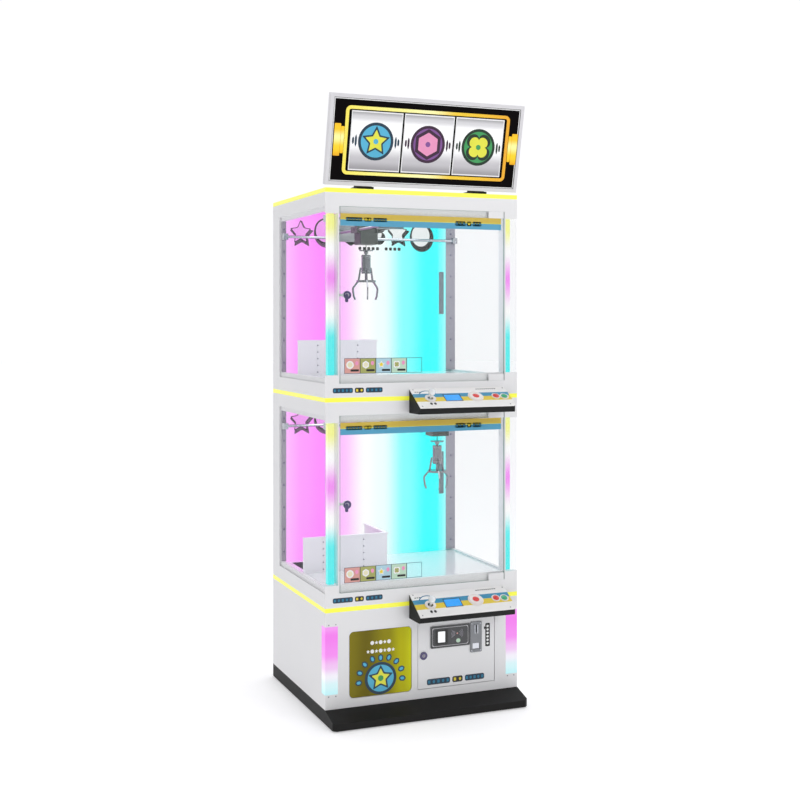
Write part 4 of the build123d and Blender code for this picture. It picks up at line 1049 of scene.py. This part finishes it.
@dataclass
class BaseCabinet:
    """The plinth and the base, with the prize flap, the coin door and the service parts."""

    flap_x: tuple[float, float] = (-303.0, -53.0)
    flap_z: tuple[float, float] = (90.0, 336.0)
    coin_leaf_depth: float = 1.0
    reader_x: tuple[float, float] = (27.0, 192.0)
    reader_z: tuple[float, float] = (243.0, 326.0)
    mech_x: tuple[float, float] = (195.0, 244.0)
    mech_z: tuple[float, float] = (212.0, 330.0)
    lock_at: tuple[float, float] = (-3.0, 219.0)
    flap_face: float = 2.0
    flap_rows: tuple[tuple[int, float], ...] = ((5, 288.0), (7, 256.0))
    flap_mark: float = 15.0
    crest_rise: float = 62.0
    crest_layers: tuple[tuple[Outline, tuple[float, float], Finish, float, float], ...] = (
        (Outline.DISC, (128.0, 122.0), NAVY, 0.35, 0.0),
        (Outline.DISC, (106.0, 101.0), SKY, 0.45, 0.0),
        (Outline.STAR, (106.0, 102.0), NAVY, 0.55, 5.0),
        (Outline.STAR, (78.0, 76.0), LIME, 0.65, 4.0),
        (Outline.DISC, (22.0, 22.0), GREEN, 0.75, 0.0),
    )
    ray_count: int = 9
    ray_step: float = 24.0
    ray_reach: float = 77.0
    ray_growth: float = 12.0
    wave_turn: float = 26.0
    wave_start: float = 7.0
    wave_step: float = 5.5
    door_caption: tuple[float, float, float, float] = (12.0, 256.0, 115.0, 23.0)
    label_at: tuple[float, float] = (271.0, 274.0)
    label_pitch: float = 13.5
    light_screws_x: tuple[float, ...] = (-386.0, -358.0, 358.0, 386.0)
    light_screws_z: tuple[float, ...] = (104.0, 371.0)
    rear_face: float = 681.0
    rear_screws_x: tuple[float, ...] = (-380.0, -190.0, 0.0, 190.0, 380.0)
    rear_screws_z: tuple[float, ...] = (34.0, 400.0, 766.0)
    rear_door_face: float = 683.0
    rear_lock_at: tuple[float, float] = (340.0, 254.0)

    def build(self) -> None:
        """Dresses the CAD nodes and builds the prints and the small parts."""
        self.dress_nodes()
        self.flap_print()
        self.reader_front()
        self.coin_door_print()
        self.coin_mech_details()
        self.coin_door_lock()
        self.light_frames()
        self.rear_screws()

    def dress_nodes(self) -> None:
        """Gives each CAD node of the base its finish."""
        finishes = {
            "plinth": POWDER_BLACK,
            "levelling_feet": RUBBER,
            "base_shell": MELAMINE_WHITE,
            "base_front": MELAMINE_WHITE,
            "prize_flap": FLAP_GOLD_PAINTED_LIGHT,
            "coin_door": POWDER_WHITE,
            "card_reader": READER_FACE,
            "coin_mech": BRUSHED,
            "coin_return_flap": CHROME,
            "prize_chute": ZINC,
            "cash_box": ZINC,
            "power_unit": ZINC,
            "rear_door": MELAMINE_WHITE,
            "trim_strips": ACRYLIC_YELLOW,
            "clear_panels": CLEAR_ACRYLIC,
            "corner_lights": OPAL_BAR,
            "back_lights": OPAL_BACK,
            "rear_corner_strips": STRIP_GREY,
            "playfield_floors": FLOOR_WHITE,
            "chute_guards": GUARD_WHITE_PAINTED_GLOW,
            "rear_covers": POWDER_WHITE,
            "gantry_rails": GROUND_ROD,
        }
        for node, finish in finishes.items():
            dress(node, finish)

    def flap_print(self) -> None:
        """Prints a generic badge and two rows of plain marks on the prize flap."""
        piece = Piece("prize_flap_print", "prize_flap", "prize_flap", front_plane(self.flap_face))
        middle = sum(self.flap_x) / 2
        tall = self.flap_mark
        for row, (cells, height) in enumerate(self.flap_rows):
            for cell in range(cells):
                spot = middle + (cell - (cells - 1) / 2) * (tall + 2.0)
                mark = Outline.STAR if (cell + row) % 2 else Outline.DISC
                piece.print_shape(mark, (spot, height), (tall, tall), WHITE)
        crest = (middle, self.flap_z[0] + self.crest_rise)
        for number in range(self.ray_count):
            turn = (number - (self.ray_count - 1) / 2) * self.ray_step
            across, along = math.sin(math.radians(turn)), math.cos(math.radians(turn))
            reach = self.ray_reach + self.ray_growth * abs(across)
            spot = (crest[0] - reach * across, crest[1] + reach * along)
            piece.print_shape(Outline.GEM, spot, (24.0, 30.0), NAVY, corner=3.0, turn=turn)
            piece.print_shape(Outline.GEM, spot, (13.0, 19.0), SKY, FILM, LAYER, 2.0, turn)
        for outline, size, finish, lift, corner in self.crest_layers:
            piece.print_shape(outline, crest, size, finish, lift, LAYER, corner)
        piece.build()

    def reader_front(self) -> None:
        """Builds the reader's smoked window, its display and its plain wave marks."""
        piece = Piece(
            "card_reader_front", "coin_door", "card_reader", front_plane(self.coin_leaf_depth - 3.0)
        )
        x0, x1 = self.reader_x
        z0, z1 = self.reader_z
        middle = ((x0 + x1) / 2, (z0 + z1) / 2)
        for inset, finish, thick, corner in ((10.5, ANODISED, 0.5, 10.0), (15.5, READER_FACE, 0.8, 8.0)):
            size = (x1 - x0 - inset, z1 - z0 - inset)
            piece.print_shape(Outline.PANEL, middle, size, finish, thick=thick, corner=corner)
        screen = (x0 + 45.0, middle[1])
        piece.print_shape(Outline.PANEL, screen, (52.0, 56.0), BLACK, 0.8, 0.5, 3.0)
        piece.print_shape(Outline.PANEL, screen, (30.0, 42.0), DISPLAY_WHITE, 1.3, 0.3, 1.5)
        waves = (x0 + 112.0, middle[1] + 8.0)
        for side, step, part in product((-1, 1), (1, 2, 3), (-1, 0, 1)):
            turn = part * self.wave_turn
            reach = self.wave_start + self.wave_step * step
            across, along = math.cos(math.radians(turn)), math.sin(math.radians(turn))
            spot = (waves[0] + side * reach * across, waves[1] + reach * along)
            piece.print_shape(Outline.PANEL, spot, (1.8, reach * 0.5), STRIP_GREY, 0.8, 0.2, 0.8, turn)
        piece.print_shape(Outline.DISC, waves, (6.0, 6.0), CORAL, 0.8, 0.2)
        piece.print_shape(Outline.DISC, (waves[0] + 4.0, middle[1] - 20.0), (18.0, 16.0), MINT, 0.8, 0.2)
        piece.build()

    def coin_door_print(self) -> None:
        """Prints the coin door's caption and the dotted label beside the coin slot."""
        piece = Piece("coin_door_print", "coin_door", "coin_door", front_plane(self.coin_leaf_depth))
        caption(piece, *self.door_caption)
        x, z = self.label_at
        piece.print_shape(Outline.PANEL, self.label_at, (20.0, 91.0), BLACK, corner=4.0)
        for cell in range(6):
            spot = (x, z - 34.0 + self.label_pitch * cell)
            piece.print_shape(Outline.DISC, spot, (10.0, 9.0), WHITE, FILM, LAYER)
        piece.print_shape(Outline.GEM, (x - 13.0, z + 28.0), (7.0, 12.0), BLACK)
        piece.build()

    def coin_mech_details(self) -> None:
        """Builds the mechanism's screws and the two lips of its slot."""
        piece = Piece("coin_mech_screws", "coin_door", "coin_mech", front_plane(self.coin_leaf_depth - 4.0))
        left, right = self.mech_x
        low, high = self.mech_z
        for spot in product((left + 6.0, right - 6.0), (low + 6.0, high - 6.0)):
            piece.screw(spot, 3.0, CHROME)
        for side in (-1, 1):
            x = (left + right) / 2 + side * 6.0
            piece.block((x - 1.5, 284.0, 0.0), (x + 1.5, 320.0, 3.0), CHROME, 0.6)
        piece.build()

    def coin_door_lock(self) -> None:
        """Builds the ring, the plug and the keyway of the coin door's lock."""
        piece = Piece(
            "coin_door_lock_ring", "coin_door", "coin_door", front_plane(self.coin_leaf_depth - 4.0)
        )
        x, z = self.lock_at
        ring = ((0.0, -0.2), (15.4, -0.2), (15.4, 0.8), (13.5, 1.6), (11.0, 1.2), (8.0, 0.6), (0.0, 0.6))
        plug = ((0.0, 0.0), (6.5, 0.0), (6.5, 0.9), (5.5, 1.2), (0.0, 1.2))
        piece.turned((x, z, 0.0), ring, LOCK_METAL)
        piece.turned((x, z, 0.6), plug, STRIP_GREY)
        piece.block((x - 0.8, z - 4.0, 1.8), (x + 0.8, z + 4.0, 2.0), BLACK)
        piece.build()

    def light_frames(self) -> None:
        """Builds the screws that hold the base's corner lights."""
        piece = Piece("base_light_screws", "root", "base_front", front_plane(0.0))
        for spot in product(self.light_screws_x, self.light_screws_z):
            piece.screw(spot, 2.4, ZINC)
        piece.build()

    def rear_screws(self) -> None:
        """Builds the screws of the rear covers and the service door's lock."""
        covers = Piece("rear_cover_screws", "root", "rear_covers", back_plane(self.rear_face))
        for base, x, z in product(TIER_BASES, self.rear_screws_x, self.rear_screws_z):
            covers.screw((x, base + z), 4.0, ZINC)
        covers.build()
        lock = Piece("rear_door_lock", "rear_door", "rear_door", back_plane(self.rear_door_face))
        profile = ((0.0, -1.0), (12.0, -1.0), (12.0, 0.6), (10.5, 0.9), (4.0, 0.9), (4.0, 0.2), (0.0, 0.2))
        lock.turned((*self.rear_lock_at, 0.0), profile, LOCK_METAL)
        lock.build()


# ---------------------------------------------------------------- tiers


@dataclass
class CraneTier:
    """One deck: its frame, its glass door, its crane, its back light's print and its console."""

    name: str
    base: float
    claw_x: float
    claw_depth: float
    guard_depth: float
    seams: tuple[float, ...] = (-297.0, -125.0)
    buttons: tuple[tuple[str, float, float, float], ...] = (
        ("drop", 192.0, 65.0, 26.0),
        ("red", 278.0, 66.0, 12.5),
        ("green", 313.0, 69.0, 12.5),
    )
    motor_box_z: float = 611.0
    claw_plate_z: float = 589.0
    glass_print_face: float = 1.4
    glass_print_x: tuple[float, float] = (-339.5, 330.0)
    gold_band: tuple[float, float] = (694.8, 22.4)
    blue_band: tuple[float, float] = (671.8, 23.6)
    band_line: tuple[float, float] = (683.9, 1.6)
    glass_captions: tuple[tuple[float, float, float, float], ...] = (
        (-318.0, -152.0, 685.0, 15.0),
        (132.0, 244.0, 681.0, 18.0),
    )
    sticker_size: tuple[float, float] = (62.0, 55.0)
    sticker_start: float = -324.0
    sticker_pitch: float = 63.0
    sticker_z: float = 134.5
    sticker_frames: int = 5
    sticker_inks: tuple[tuple[Finish, Finish, Outline], ...] = (
        (CORAL, CREAM, Outline.DISC),
        (OLIVE, CREAM, Outline.GEM),
        (PALE_BLUE, YELLOW, Outline.STAR),
        (MINT, OLIVE, Outline.CLOVER),
    )
    glass_rim: float = 0.3
    lock_face: float = -6.5
    lock_at: tuple[float, float] = (-315.0, 400.0)
    sill_caption: tuple[float, float, float, float] = (-370.0, -171.0, 43.0, 19.0)
    back_face: float = 579.8
    banner: tuple[Outline, ...] = (
        Outline.STAR,
        Outline.DISC,
        Outline.GEM,
        Outline.CLOVER,
        Outline.STAR,
        Outline.DISC,
    )
    banner_x: tuple[float, float] = (-366.0, 287.0)
    banner_z: float = 694.0
    banner_droop: float = 9.0
    banner_caption: tuple[float, float] = (-48.0, 611.0)
    grey_bar_at: tuple[float, float] = (330.5, 424.0)
    grey_bar_size: tuple[float, float] = (22.0, 184.0)
    strip_face: float = 573.9
    strips_x: tuple[float, float] = (-385.0, 373.0)
    strip_first: float = 130.0
    strip_pitch: float = 92.0
    seam_z: tuple[float, float] = (84.0, 218.0)
    cord_radius: float = 1.5
    cord_rings: int = 24
    winch_z: float = 697.0
    winch_turns: int = 12
    winch_pitch: float = 3.2
    can_bands_z: tuple[float, float] = (500.0, 560.0)
    collar_z: float = 575.0
    deck_z: float = 45.0
    deck_fall: tuple[float, float] = (112.0, 67.0)
    stick_down: float = 58.0
    arc_radius: float = 39.0
    screen_at: tuple[float, float] = (95.0, -67.5)
    lens_rise: float = 5.0

    def build(self) -> None:
        """Dresses the CAD nodes and builds everything that belongs to the deck."""
        self.dress_nodes()
        self.door_print()
        self.door_edge()
        self.door_lock()
        self.sill_print()
        self.back_print()
        self.strip_screws()
        self.guard_seams()
        self.hoist()
        self.winch()
        self.claw_details()
        self.console_print()
        self.control_lenses()

    def node(self, part: str) -> str:
        """The name of one of the deck's CAD nodes or bodies."""
        return f"{self.name}_{part}"

    def dress_nodes(self) -> None:
        """Gives each CAD node of the deck its finish."""
        finishes = {
            "frame": POWDER_WHITE,
            "bridge": ZINC,
            "trolley": MOTOR_GREY,
            "claw_head": CLAW_STEEL,
            "claw_arm_1": CLAW_STEEL,
            "claw_arm_2": CLAW_STEEL,
            "claw_arm_3": CLAW_STEEL,
            "door_glass": TOUGH_GLASS,
            "door_fittings": POWDER_WHITE,
            "joystick_gimbal": ABS_BLACK,
            "joystick": CLEAR_BALL,
            "drop_button": BUTTON_WHITE,
            "red_button": BUTTON_RED,
            "green_button": BUTTON_GREEN,
        }
        for part, finish in finishes.items():
            dress(self.node(part), finish)

    def door_print(self) -> None:
        """Prints the two bands across the top of the glass and the row of prize stickers."""
        plane_at = front_plane(self.glass_print_face, self.base)
        piece = Piece(self.node("door_print"), self.node("door"), self.node("door_glass"), plane_at)
        left, right = self.glass_print_x
        middle, width = (left + right) / 2, right - left
        for (height, tall), finish in ((self.gold_band, GOLD_BAND), (self.blue_band, BLUE_BAND)):
            piece.print_shape(Outline.PANEL, (middle, height), (width, tall), finish)
        height, tall = self.band_line
        piece.print_shape(Outline.PANEL, (middle, height), (width, tall), LIME, FILM, LAYER)
        for row in self.glass_captions:
            caption(piece, *row)
        for number in range(self.sticker_frames):
            x = self.sticker_start + (number + 0.5) * self.sticker_pitch
            self.sticker_frame(piece, x)
            if number < len(self.sticker_inks):
                self.sticker(piece, x, *self.sticker_inks[number])
        piece.build()

    def sticker_frame(self, piece: Piece, x: float) -> None:
        """Prints the thin line round one prize sticker.

        Args:
            piece: the piece that carries the print.
            x: the sticker's middle.
        """
        width, tall = self.sticker_size
        lift, line = FILM + LAYER, 1.6
        for side in (1, -1):
            spot = (x, self.sticker_z + side * 28.0)
            piece.print_shape(Outline.PANEL, spot, (width, line), NAVY, lift, LAYER)
        for side in (-1, 1):
            spot = (x + side * width / 2, self.sticker_z)
            piece.print_shape(Outline.PANEL, spot, (line, tall + 2.0), NAVY, lift, LAYER)

    def sticker(self, piece: Piece, x: float, ground: Finish, mark: Finish, outline: Outline) -> None:
        """Prints one generic prize sticker.

        Args:
            piece: the piece that carries the print.
            x: the sticker's middle.
            ground: the ink of its ground.
            mark: the ink of its mark.
            outline: the mark's outline.
        """
        z = self.sticker_z
        piece.print_shape(Outline.PANEL, (x, z), self.sticker_size, ground)
        piece.print_shape(outline, (x - 9.0, z + 4.0), (30.0, 30.0), WHITE, FILM, LAYER, 2.0)
        piece.print_shape(outline, (x - 9.0, z + 4.0), (20.0, 20.0), mark, FILM + LAYER, LAYER, 1.5)
        piece.print_shape(Outline.PANEL, (x + 10.0, z - 17.0), (34.0, 8.0), BLACK, FILM, LAYER, 3.0)
        piece.print_shape(Outline.DISC, (x + 18.0, z + 10.0), (13.0, 16.0), PINK, FILM, LAYER)

    def door_edge(self) -> None:
        """Builds the polished edge round the glass door."""
        glass = self.node("door_glass")
        low, high = (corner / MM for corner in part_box(glass))
        piece = Piece(self.node("door_edge"), self.node("door"), glass, Matrix.Scale(MM, 4))
        rim = self.glass_rim
        for left, right in ((low.x - rim, low.x), (high.x, high.x + rim)):
            piece.block((left, low.y, low.z), (right, high.y, high.z), GLASS_EDGE)
        for bottom, top in ((low.z - rim, low.z), (high.z, high.z + rim)):
            piece.block((low.x, low.y, bottom), (high.x, high.y, top), GLASS_EDGE)
        piece.build()

    def door_lock(self) -> None:
        """Builds the ring, the plug and the hanging tab of the glass door's lock."""
        plane_at = front_plane(self.lock_face, self.base)
        piece = Piece(self.node("door_lock_face"), self.node("door"), self.node("door_fittings"), plane_at)
        x, z = self.lock_at
        ring = ((0.0, 0.0), (15.7, 0.0), (15.7, 0.8), (13.5, 1.6), (10.0, 1.3), (9.0, 0.9), (0.0, 0.9))
        plug = ((0.0, 0.0), (7.0, 0.0), (7.0, 0.7), (0.0, 0.7))
        piece.turned((x, z, 0.0), ring, LOCK_METAL)
        piece.turned((x, z, 0.9), plug, STRIP_GREY)
        piece.print_shape(
            Outline.PANEL, (x - 3.0, z - 11.0), (12.2, 31.4), LOCK_METAL, thick=2.3, corner=4.0
        )
        piece.build()

    def sill_print(self) -> None:
        """Prints the caption on the sill under the glass."""
        piece = Piece(self.node("sill_print"), "root", self.node("frame"), front_plane(0.0, self.base))
        caption(piece, *self.sill_caption)
        piece.build()

    def back_print(self) -> None:
        """Prints the big generic banner, its caption and the grey bar on the back light."""
        piece = Piece(
            self.node("back_print"), "root", "back_lights", front_plane(self.back_face, self.base)
        )
        left, right = self.banner_x
        pitch = (right - left) / len(self.banner)
        for number, mark in enumerate(self.banner):
            x = left + pitch * (number + 0.5)
            z = self.banner_z - self.banner_droop * abs(number - 2.5)
            shadow = ROSE_GREY if number < 2 else BLACK
            core = BACKLIT_PINK if number < 3 else BACKLIT_WHITE
            piece.print_shape(mark, (x + 5.0, z - 9.0), (112.0, 122.0), shadow, 0.0, 0.4, 6.0)
            piece.print_shape(mark, (x, z), (98.0, 108.0), BLACK, 0.4, 0.2, 6.0)
            piece.print_shape(mark, (x, z), (84.0, 94.0), core, 0.6, 0.2, 5.0)
        first, height = self.banner_caption
        for cell in (0, 1, 2, 3, 4, 6, 7, 8, 9):
            piece.print_shape(
                Outline.PANEL, (first + 20.0 * cell, height), (13.0, 13.0), BLACK, 0.0, 0.3, 3.0
            )
        piece.print_shape(Outline.PANEL, self.grey_bar_at, self.grey_bar_size, GREY_BAR, 0.0, 1.5, 3.0)
        piece.build()

    def strip_screws(self) -> None:
        """Builds the screws in the closing strips."""
        plane_at = front_plane(self.strip_face, self.base)
        piece = Piece(self.node("strip_screws"), "root", "rear_corner_strips", plane_at)
        for x, number in product(self.strips_x, range(7)):
            piece.screw((x, self.strip_first + self.strip_pitch * number), 3.6, LOCK_METAL)
        piece.build()

    def guard_seams(self) -> None:
        """Builds the cover strips on the chute guard's front and their screws."""
        piece = Piece(
            self.node("guard_seams"), "root", "chute_guards", front_plane(self.guard_depth, self.base)
        )
        low, high = self.seam_z
        for x in self.seams:
            piece.block((x - 4.0, low, -0.1), (x + 4.0, high, 0.9), GUARD_WHITE_PAINTED_GLOW, 0.3)
            for number in range(5):
                piece.screw((x, low + 12.0 + 27.0 * number), 2.6, LOCK_METAL, 0.9)
        piece.build()

    def hoist(self) -> None:
        """Builds the braided hoist cord from the claw's top plate up to the motor box, and hides the CAD
        cord.
        """
        foot = place(self.claw_x, self.claw_depth, self.base + self.claw_plate_z)
        head = place(self.claw_x, self.claw_depth, self.base + self.motor_box_z)
        mesh = bmesh.new()
        circle = bmesh.ops.create_circle(
            mesh, segments=12, radius=self.cord_radius * MM, matrix=Matrix.Translation(foot)
        )
        edges = list({edge for vert in circle["verts"] for edge in vert.link_edges})
        step = (head - foot) / self.cord_rings
        for _ in range(self.cord_rings):
            grown = bmesh.ops.extrude_edge_only(mesh, edges=edges)["geom"]
            verts = [item for item in grown if isinstance(item, bmesh.types.BMVert)]
            edges = [item for item in grown if isinstance(item, bmesh.types.BMEdge)]
            bmesh.ops.translate(mesh, vec=step, verts=verts)
        bmesh.ops.holes_fill(mesh, edges=[edge for edge in mesh.edges if edge.is_boundary], sides=0)
        bmesh.ops.recalc_face_normals(mesh, faces=mesh.faces[:])
        data = bpy.data.meshes.new(self.node("hoist_braid"))
        mesh.to_mesh(data)
        mesh.free()
        data.materials.append(BRAID.build())
        data.shade_smooth()
        data.set_sharp_from_angle(angle=CRISP_CORD)
        cord = bpy.data.objects.new(data.name, data)
        bpy.context.scene.collection.objects.link(cord)
        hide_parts(self.node("hoist_cord"))
        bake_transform(cord)
        LOG.info("built %s between trolley and claw", data.name)

    def winch(self) -> None:
        """Builds the winch's flanges and windings, and the gear motor beside it."""
        local = plane(place(self.claw_x, self.claw_depth, self.base + self.winch_z), RIGHT, BACK)
        piece = Piece(self.node("winch_gear"), self.node("trolley"), self.node("trolley"), local)
        lie = Matrix.Rotation(math.pi / 2, 4, "Y")
        flange = ((0.0, 0.0), (19.0, 0.0), (19.6, 0.6), (19.6, 1.6), (19.0, 2.2), (0.0, 2.2))
        for x in (-31.0, 29.0):
            piece.turned((x, 0.0, 0.0), flange, GOLD_ZINC, lie)
        coil = ((14.0, 0.0), (15.6, 0.5), (16.2, 1.5), (15.6, 2.5), (14.0, 3.0))
        for number in range(self.winch_turns):
            piece.turned((-20.0 + self.winch_pitch * number, 0.0, 0.0), coil, BRAID, lie, 24)
        case = (
            (0.0, 0.0),
            (13.0, 0.0),
            (14.0, 1.0),
            (14.0, 10.0),
            (12.0, 11.0),
            (12.0, 20.0),
            (11.0, 21.0),
            (0.0, 21.0),
        )
        piece.turned((31.5, 0.0, 2.0), case, GOLD_ZINC, lie)
        piece.block((-38.0, 20.0, -14.0), (-6.0, 36.0, 10.0), MOTOR_GREY, 1.5)
        piece.block((2.0, 22.0, -14.0), (34.0, 34.0, -2.0), BLACK, 1.0)
        piece.build()

    def claw_details(self) -> None:
        """Builds the can's clamp bands and the collar under the top plate."""
        local = plane(place(self.claw_x, self.claw_depth, self.base), RIGHT, BACK)
        piece = Piece(self.node("claw_bands"), self.node("claw"), self.node("claw_head"), local)
        band = ((18.4, 0.0), (19.6, 0.4), (19.6, 4.6), (18.4, 5.0))
        for height in self.can_bands_z:
            piece.turned((0.0, 0.0, height), band, ZINC)
        collar = ((5.0, 0.0), (9.0, 0.0), (9.0, 8.0), (7.0, 10.0), (5.0, 10.0))
        piece.turned((0.0, 0.0, self.collar_z), collar, ZINC, steps=24)
        piece.build()

    def deck(self) -> Matrix:
        """The plane of the console's deck, with its origin at the back edge on the centre line."""
        up = Vector((0.0, *self.deck_fall)).normalized()
        return plane(place(0.0, 0.0, self.base + self.deck_z), RIGHT, up)

    def console_print(self) -> None:
        """Prints the joystick's arc, its pointers, the captions and the screen's frame on the deck."""
        piece = Piece(self.node("console_print"), "root", "console_decks", self.deck())
        for step in range(-4, 5):
            tilt = step * 14.0
            across, along = math.sin(math.radians(tilt)), math.cos(math.radians(tilt))
            spot = (self.arc_radius * across, -self.stick_down + self.arc_radius * along)
            piece.print_shape(Outline.PANEL, spot, (10.5, 4.0), TEAL, corner=1.0, turn=-tilt)
        for side in (-1, 1):
            piece.print_shape(Outline.DROP, (side * 8.0, -105.0), (11.0, 15.0), BLACK, turn=180)
        rows = ((3, -46.0, 9.0, -26.0, 7.0), (10, 215.0, 8.8, -14.0, 6.6))
        for cells, first, pitch, height, width in rows:
            for cell in range(cells):
                spot = (first + pitch * cell, height)
                piece.print_shape(Outline.PANEL, spot, (width, 4.0), BLACK, corner=1.2)
        self.screen_frame(piece)
        for x, down in ((-50.0, 10.0), (330.0, 10.0), (-50.0, 120.0), (318.0, 120.0)):
            piece.screw((x, -down), 2.6, ZINC)
        piece.build()

    def screen_frame(self, piece: Piece) -> None:
        """Prints the dark line round the console's screen.

        Args:
            piece: the piece that carries the print.
        """
        x, z = self.screen_at
        for side in (1, -1):
            piece.print_shape(Outline.PANEL, (x, z + side * 21.5), (72.0, 3.0), NAVY)
        for side in (-1, 1):
            piece.print_shape(Outline.PANEL, (x + side * 34.5, z), (3.0, 46.0), NAVY)

    def control_lenses(self) -> None:
        """Builds the domed lens of each push button."""
        for label, x, down, radius in self.buttons:
            button = self.node(f"{label}_button")
            piece = Piece(self.node(f"{label}_lens"), button, button, self.deck())
            reach = radius * (0.52 if label == "drop" else 0.7)
            finish = BUTTON_GREEN if label == "green" else BUTTON_RED
            dome = ((0.0, 0.0), (1.0, 0.0), (0.92, 1.0), (0.7, 2.1), (0.35, 2.8), (0.0, 3.0))
            profile = tuple((reach * share, rise) for share, rise in dome)
            piece.turned((x, -down, self.lens_rise), profile, finish)
            piece.build()


@dataclass
class Consoles:
    """The shared console nodes of both decks."""

    def build(self) -> None:
        """Dresses the boxes, the decks, the screens and the collars."""
        dress("console_bodies", ABS_BLACK)
        dress("console_decks", DECK_PRINT)
        dress("console_screens", DISPLAY_BLUE)
        dress("console_fittings", BUTTON_WHITE)


# ---------------------------------------------------------------- marquee


@dataclass
class Marquee:
    """The leaning light box with its reels, its gold frame and its knobs."""

    bottom: tuple[float, float] = (7.0, 2011.0)
    top: tuple[float, float] = (-68.0, 2341.0)
    face_back: float = 2.7
    reel_span: tuple[float, float] = (-316.0, 322.0)
    reel_height: tuple[float, float] = (62.0, 276.0)
    face_edges: tuple[float, float, float] = (381.5, 17.0, 321.0)
    line: float = 3.0
    case_back: float = 25.0
    knobs: tuple[tuple[float, float, float], ...] = ((347.0, 13.0, 100.0), (367.0, 25.0, 120.0))
    badge_rim: float = 142.0
    badge_ground: float = 120.0
    screws_x: tuple[float, ...] = (-380.0, -127.0, 127.0, 380.0)
    screws_up: tuple[float, ...] = (18.0, 320.0)

    def build(self) -> None:
        """Dresses the CAD nodes and builds the face's reliefs."""
        dress("marquee_case", ANODISED)
        dress("marquee_face", FACE_BLACK)
        dress("marquee_brackets", POWDER_BLACK)
        self.face_relief()
        self.symbols()
        self.case_screws()

    def leaning(self, right: Vector, off: float) -> Matrix:
        """A plane that leans as the light box does, with its origin at its bottom on the centre line.

        Args:
            right: the plane's x direction.
            off: how far it stands off the front's lower edge, along its own z axis.

        Returns:
            The plane.
        """
        up = Vector((0.0, self.top[0] - self.bottom[0], self.top[1] - self.bottom[1])).normalized()
        origin = place(0.0, *self.bottom) + right.cross(up) * off * MM
        return plane(origin, right, up)

    def face_relief(self) -> None:
        """Builds the gold frame, the three shaded reels and the stacked knobs."""
        piece = Piece("marquee_relief", "root", "marquee_face", self.leaning(RIGHT, -self.face_back))
        low, high = self.reel_height
        left, right = self.reel_span
        middle = ((left + right) / 2, (low + high) / 2)
        width, tall = right - left, high - low
        edge_x, edge_low, edge_high = self.face_edges
        for side in (-1, 1):
            spot = (side * edge_x, (edge_low + edge_high) / 2)
            piece.print_shape(Outline.PANEL, spot, (self.line, edge_high - edge_low), WHITE)
        for edge in (edge_low, edge_high):
            piece.print_shape(Outline.PANEL, (0.0, edge), (2 * edge_x + self.line, self.line), WHITE)
        piece.print_shape(Outline.PANEL, middle, (width + 40.0, tall + 42.0), GOLD_TRIM_PAINTED_HIGHLIGHT, 0.0, 1.1, 20.0)
        piece.print_shape(Outline.PANEL, middle, (width + 14.0, tall + 17.0), FACE_BLACK, 1.1, 0.2, 8.0)
        each = width / 3
        for number in range(3):
            x = left + each * (number + 0.5)
            piece.print_shape(Outline.PANEL, (x, middle[1]), (each - 7.0, tall + 8.0), WHITE, 1.3, 0.1)
            piece.print_shape(
                Outline.PANEL, (x, middle[1]), (each - 14.0, tall - 2.0), REEL_SHADE, 1.4, 0.2
            )
        for side in (-1, 1):
            for offset, knob_width, knob_tall in self.knobs:
                spot = (middle[0] + side * offset, middle[1])
                piece.print_shape(Outline.PANEL, spot, (knob_width, knob_tall), GOLD_KNOB_PAINTED_HIGHLIGHT, 0.0, 2.2, 3.0)
        piece.build()

    def symbols(self) -> None:
        """Builds one generic lucky symbol on each reel: a star, a gem and a clover."""
        piece = Piece("marquee_symbols", "root", "marquee_face", self.leaning(RIGHT, -self.face_back))
        each = (self.reel_span[1] - self.reel_span[0]) / 3
        height = sum(self.reel_height) / 2
        looks = (
            (Outline.STAR, NAVY, SKY, LIME),
            (Outline.GEM, PLUM, PURPLE, PINK),
            (Outline.CLOVER, FOREST, GREEN, LIME),
        )
        rim, ground = self.badge_rim, self.badge_ground
        for number, (outline, dark, mid, light) in enumerate(looks):
            x = self.reel_span[0] + each * (number + 0.5)
            spot = (x, height)
            piece.print_shape(Outline.DISC, spot, (rim, rim), dark, 1.6, 0.2)
            for side, (reach, tall) in product((-1, 1), ((80.0, 48.0), (91.0, 30.0))):
                piece.print_shape(Outline.GEM, (x + side * reach, height), (9.0, tall), dark, 1.6, 0.2, 2.0)
            piece.print_shape(Outline.DISC, spot, (ground, ground), mid, 1.8, LAYER)
            piece.print_shape(outline, spot, (118.0, 118.0), dark, 1.9, LAYER, 3.0)
            piece.print_shape(outline, spot, (90.0, 90.0), light, 2.0, LAYER, 3.0)
            piece.print_shape(Outline.DISC, spot, (20.0, 20.0), mid, 2.1, LAYER)
        piece.build()

    def case_screws(self) -> None:
        """Builds the screws on the back of the light box."""
        back = self.leaning(LEFT, self.case_back)
        piece = Piece("marquee_case_screws", "root", "marquee_case", back)
        for spot in product(self.screws_x, self.screws_up):
            piece.screw(spot, 3.6, ZINC)
        piece.build()


# ---------------------------------------------------------------- main


def main() -> None:
    """Builds the whole scene, piece by piece."""
    logging.basicConfig(level=logging.INFO, format="%(message)s")
    Studio().build()
    BaseCabinet().build()
    CraneTier("lower", TIER_BASES[0], claw_x=205.0, claw_depth=340.0, guard_depth=328.0).build()
    CraneTier("upper", TIER_BASES[1], claw_x=-114.0, claw_depth=330.0, guard_depth=398.0).build()
    Consoles().build()
    Marquee().build()


if __name__ == "__main__":
    main()
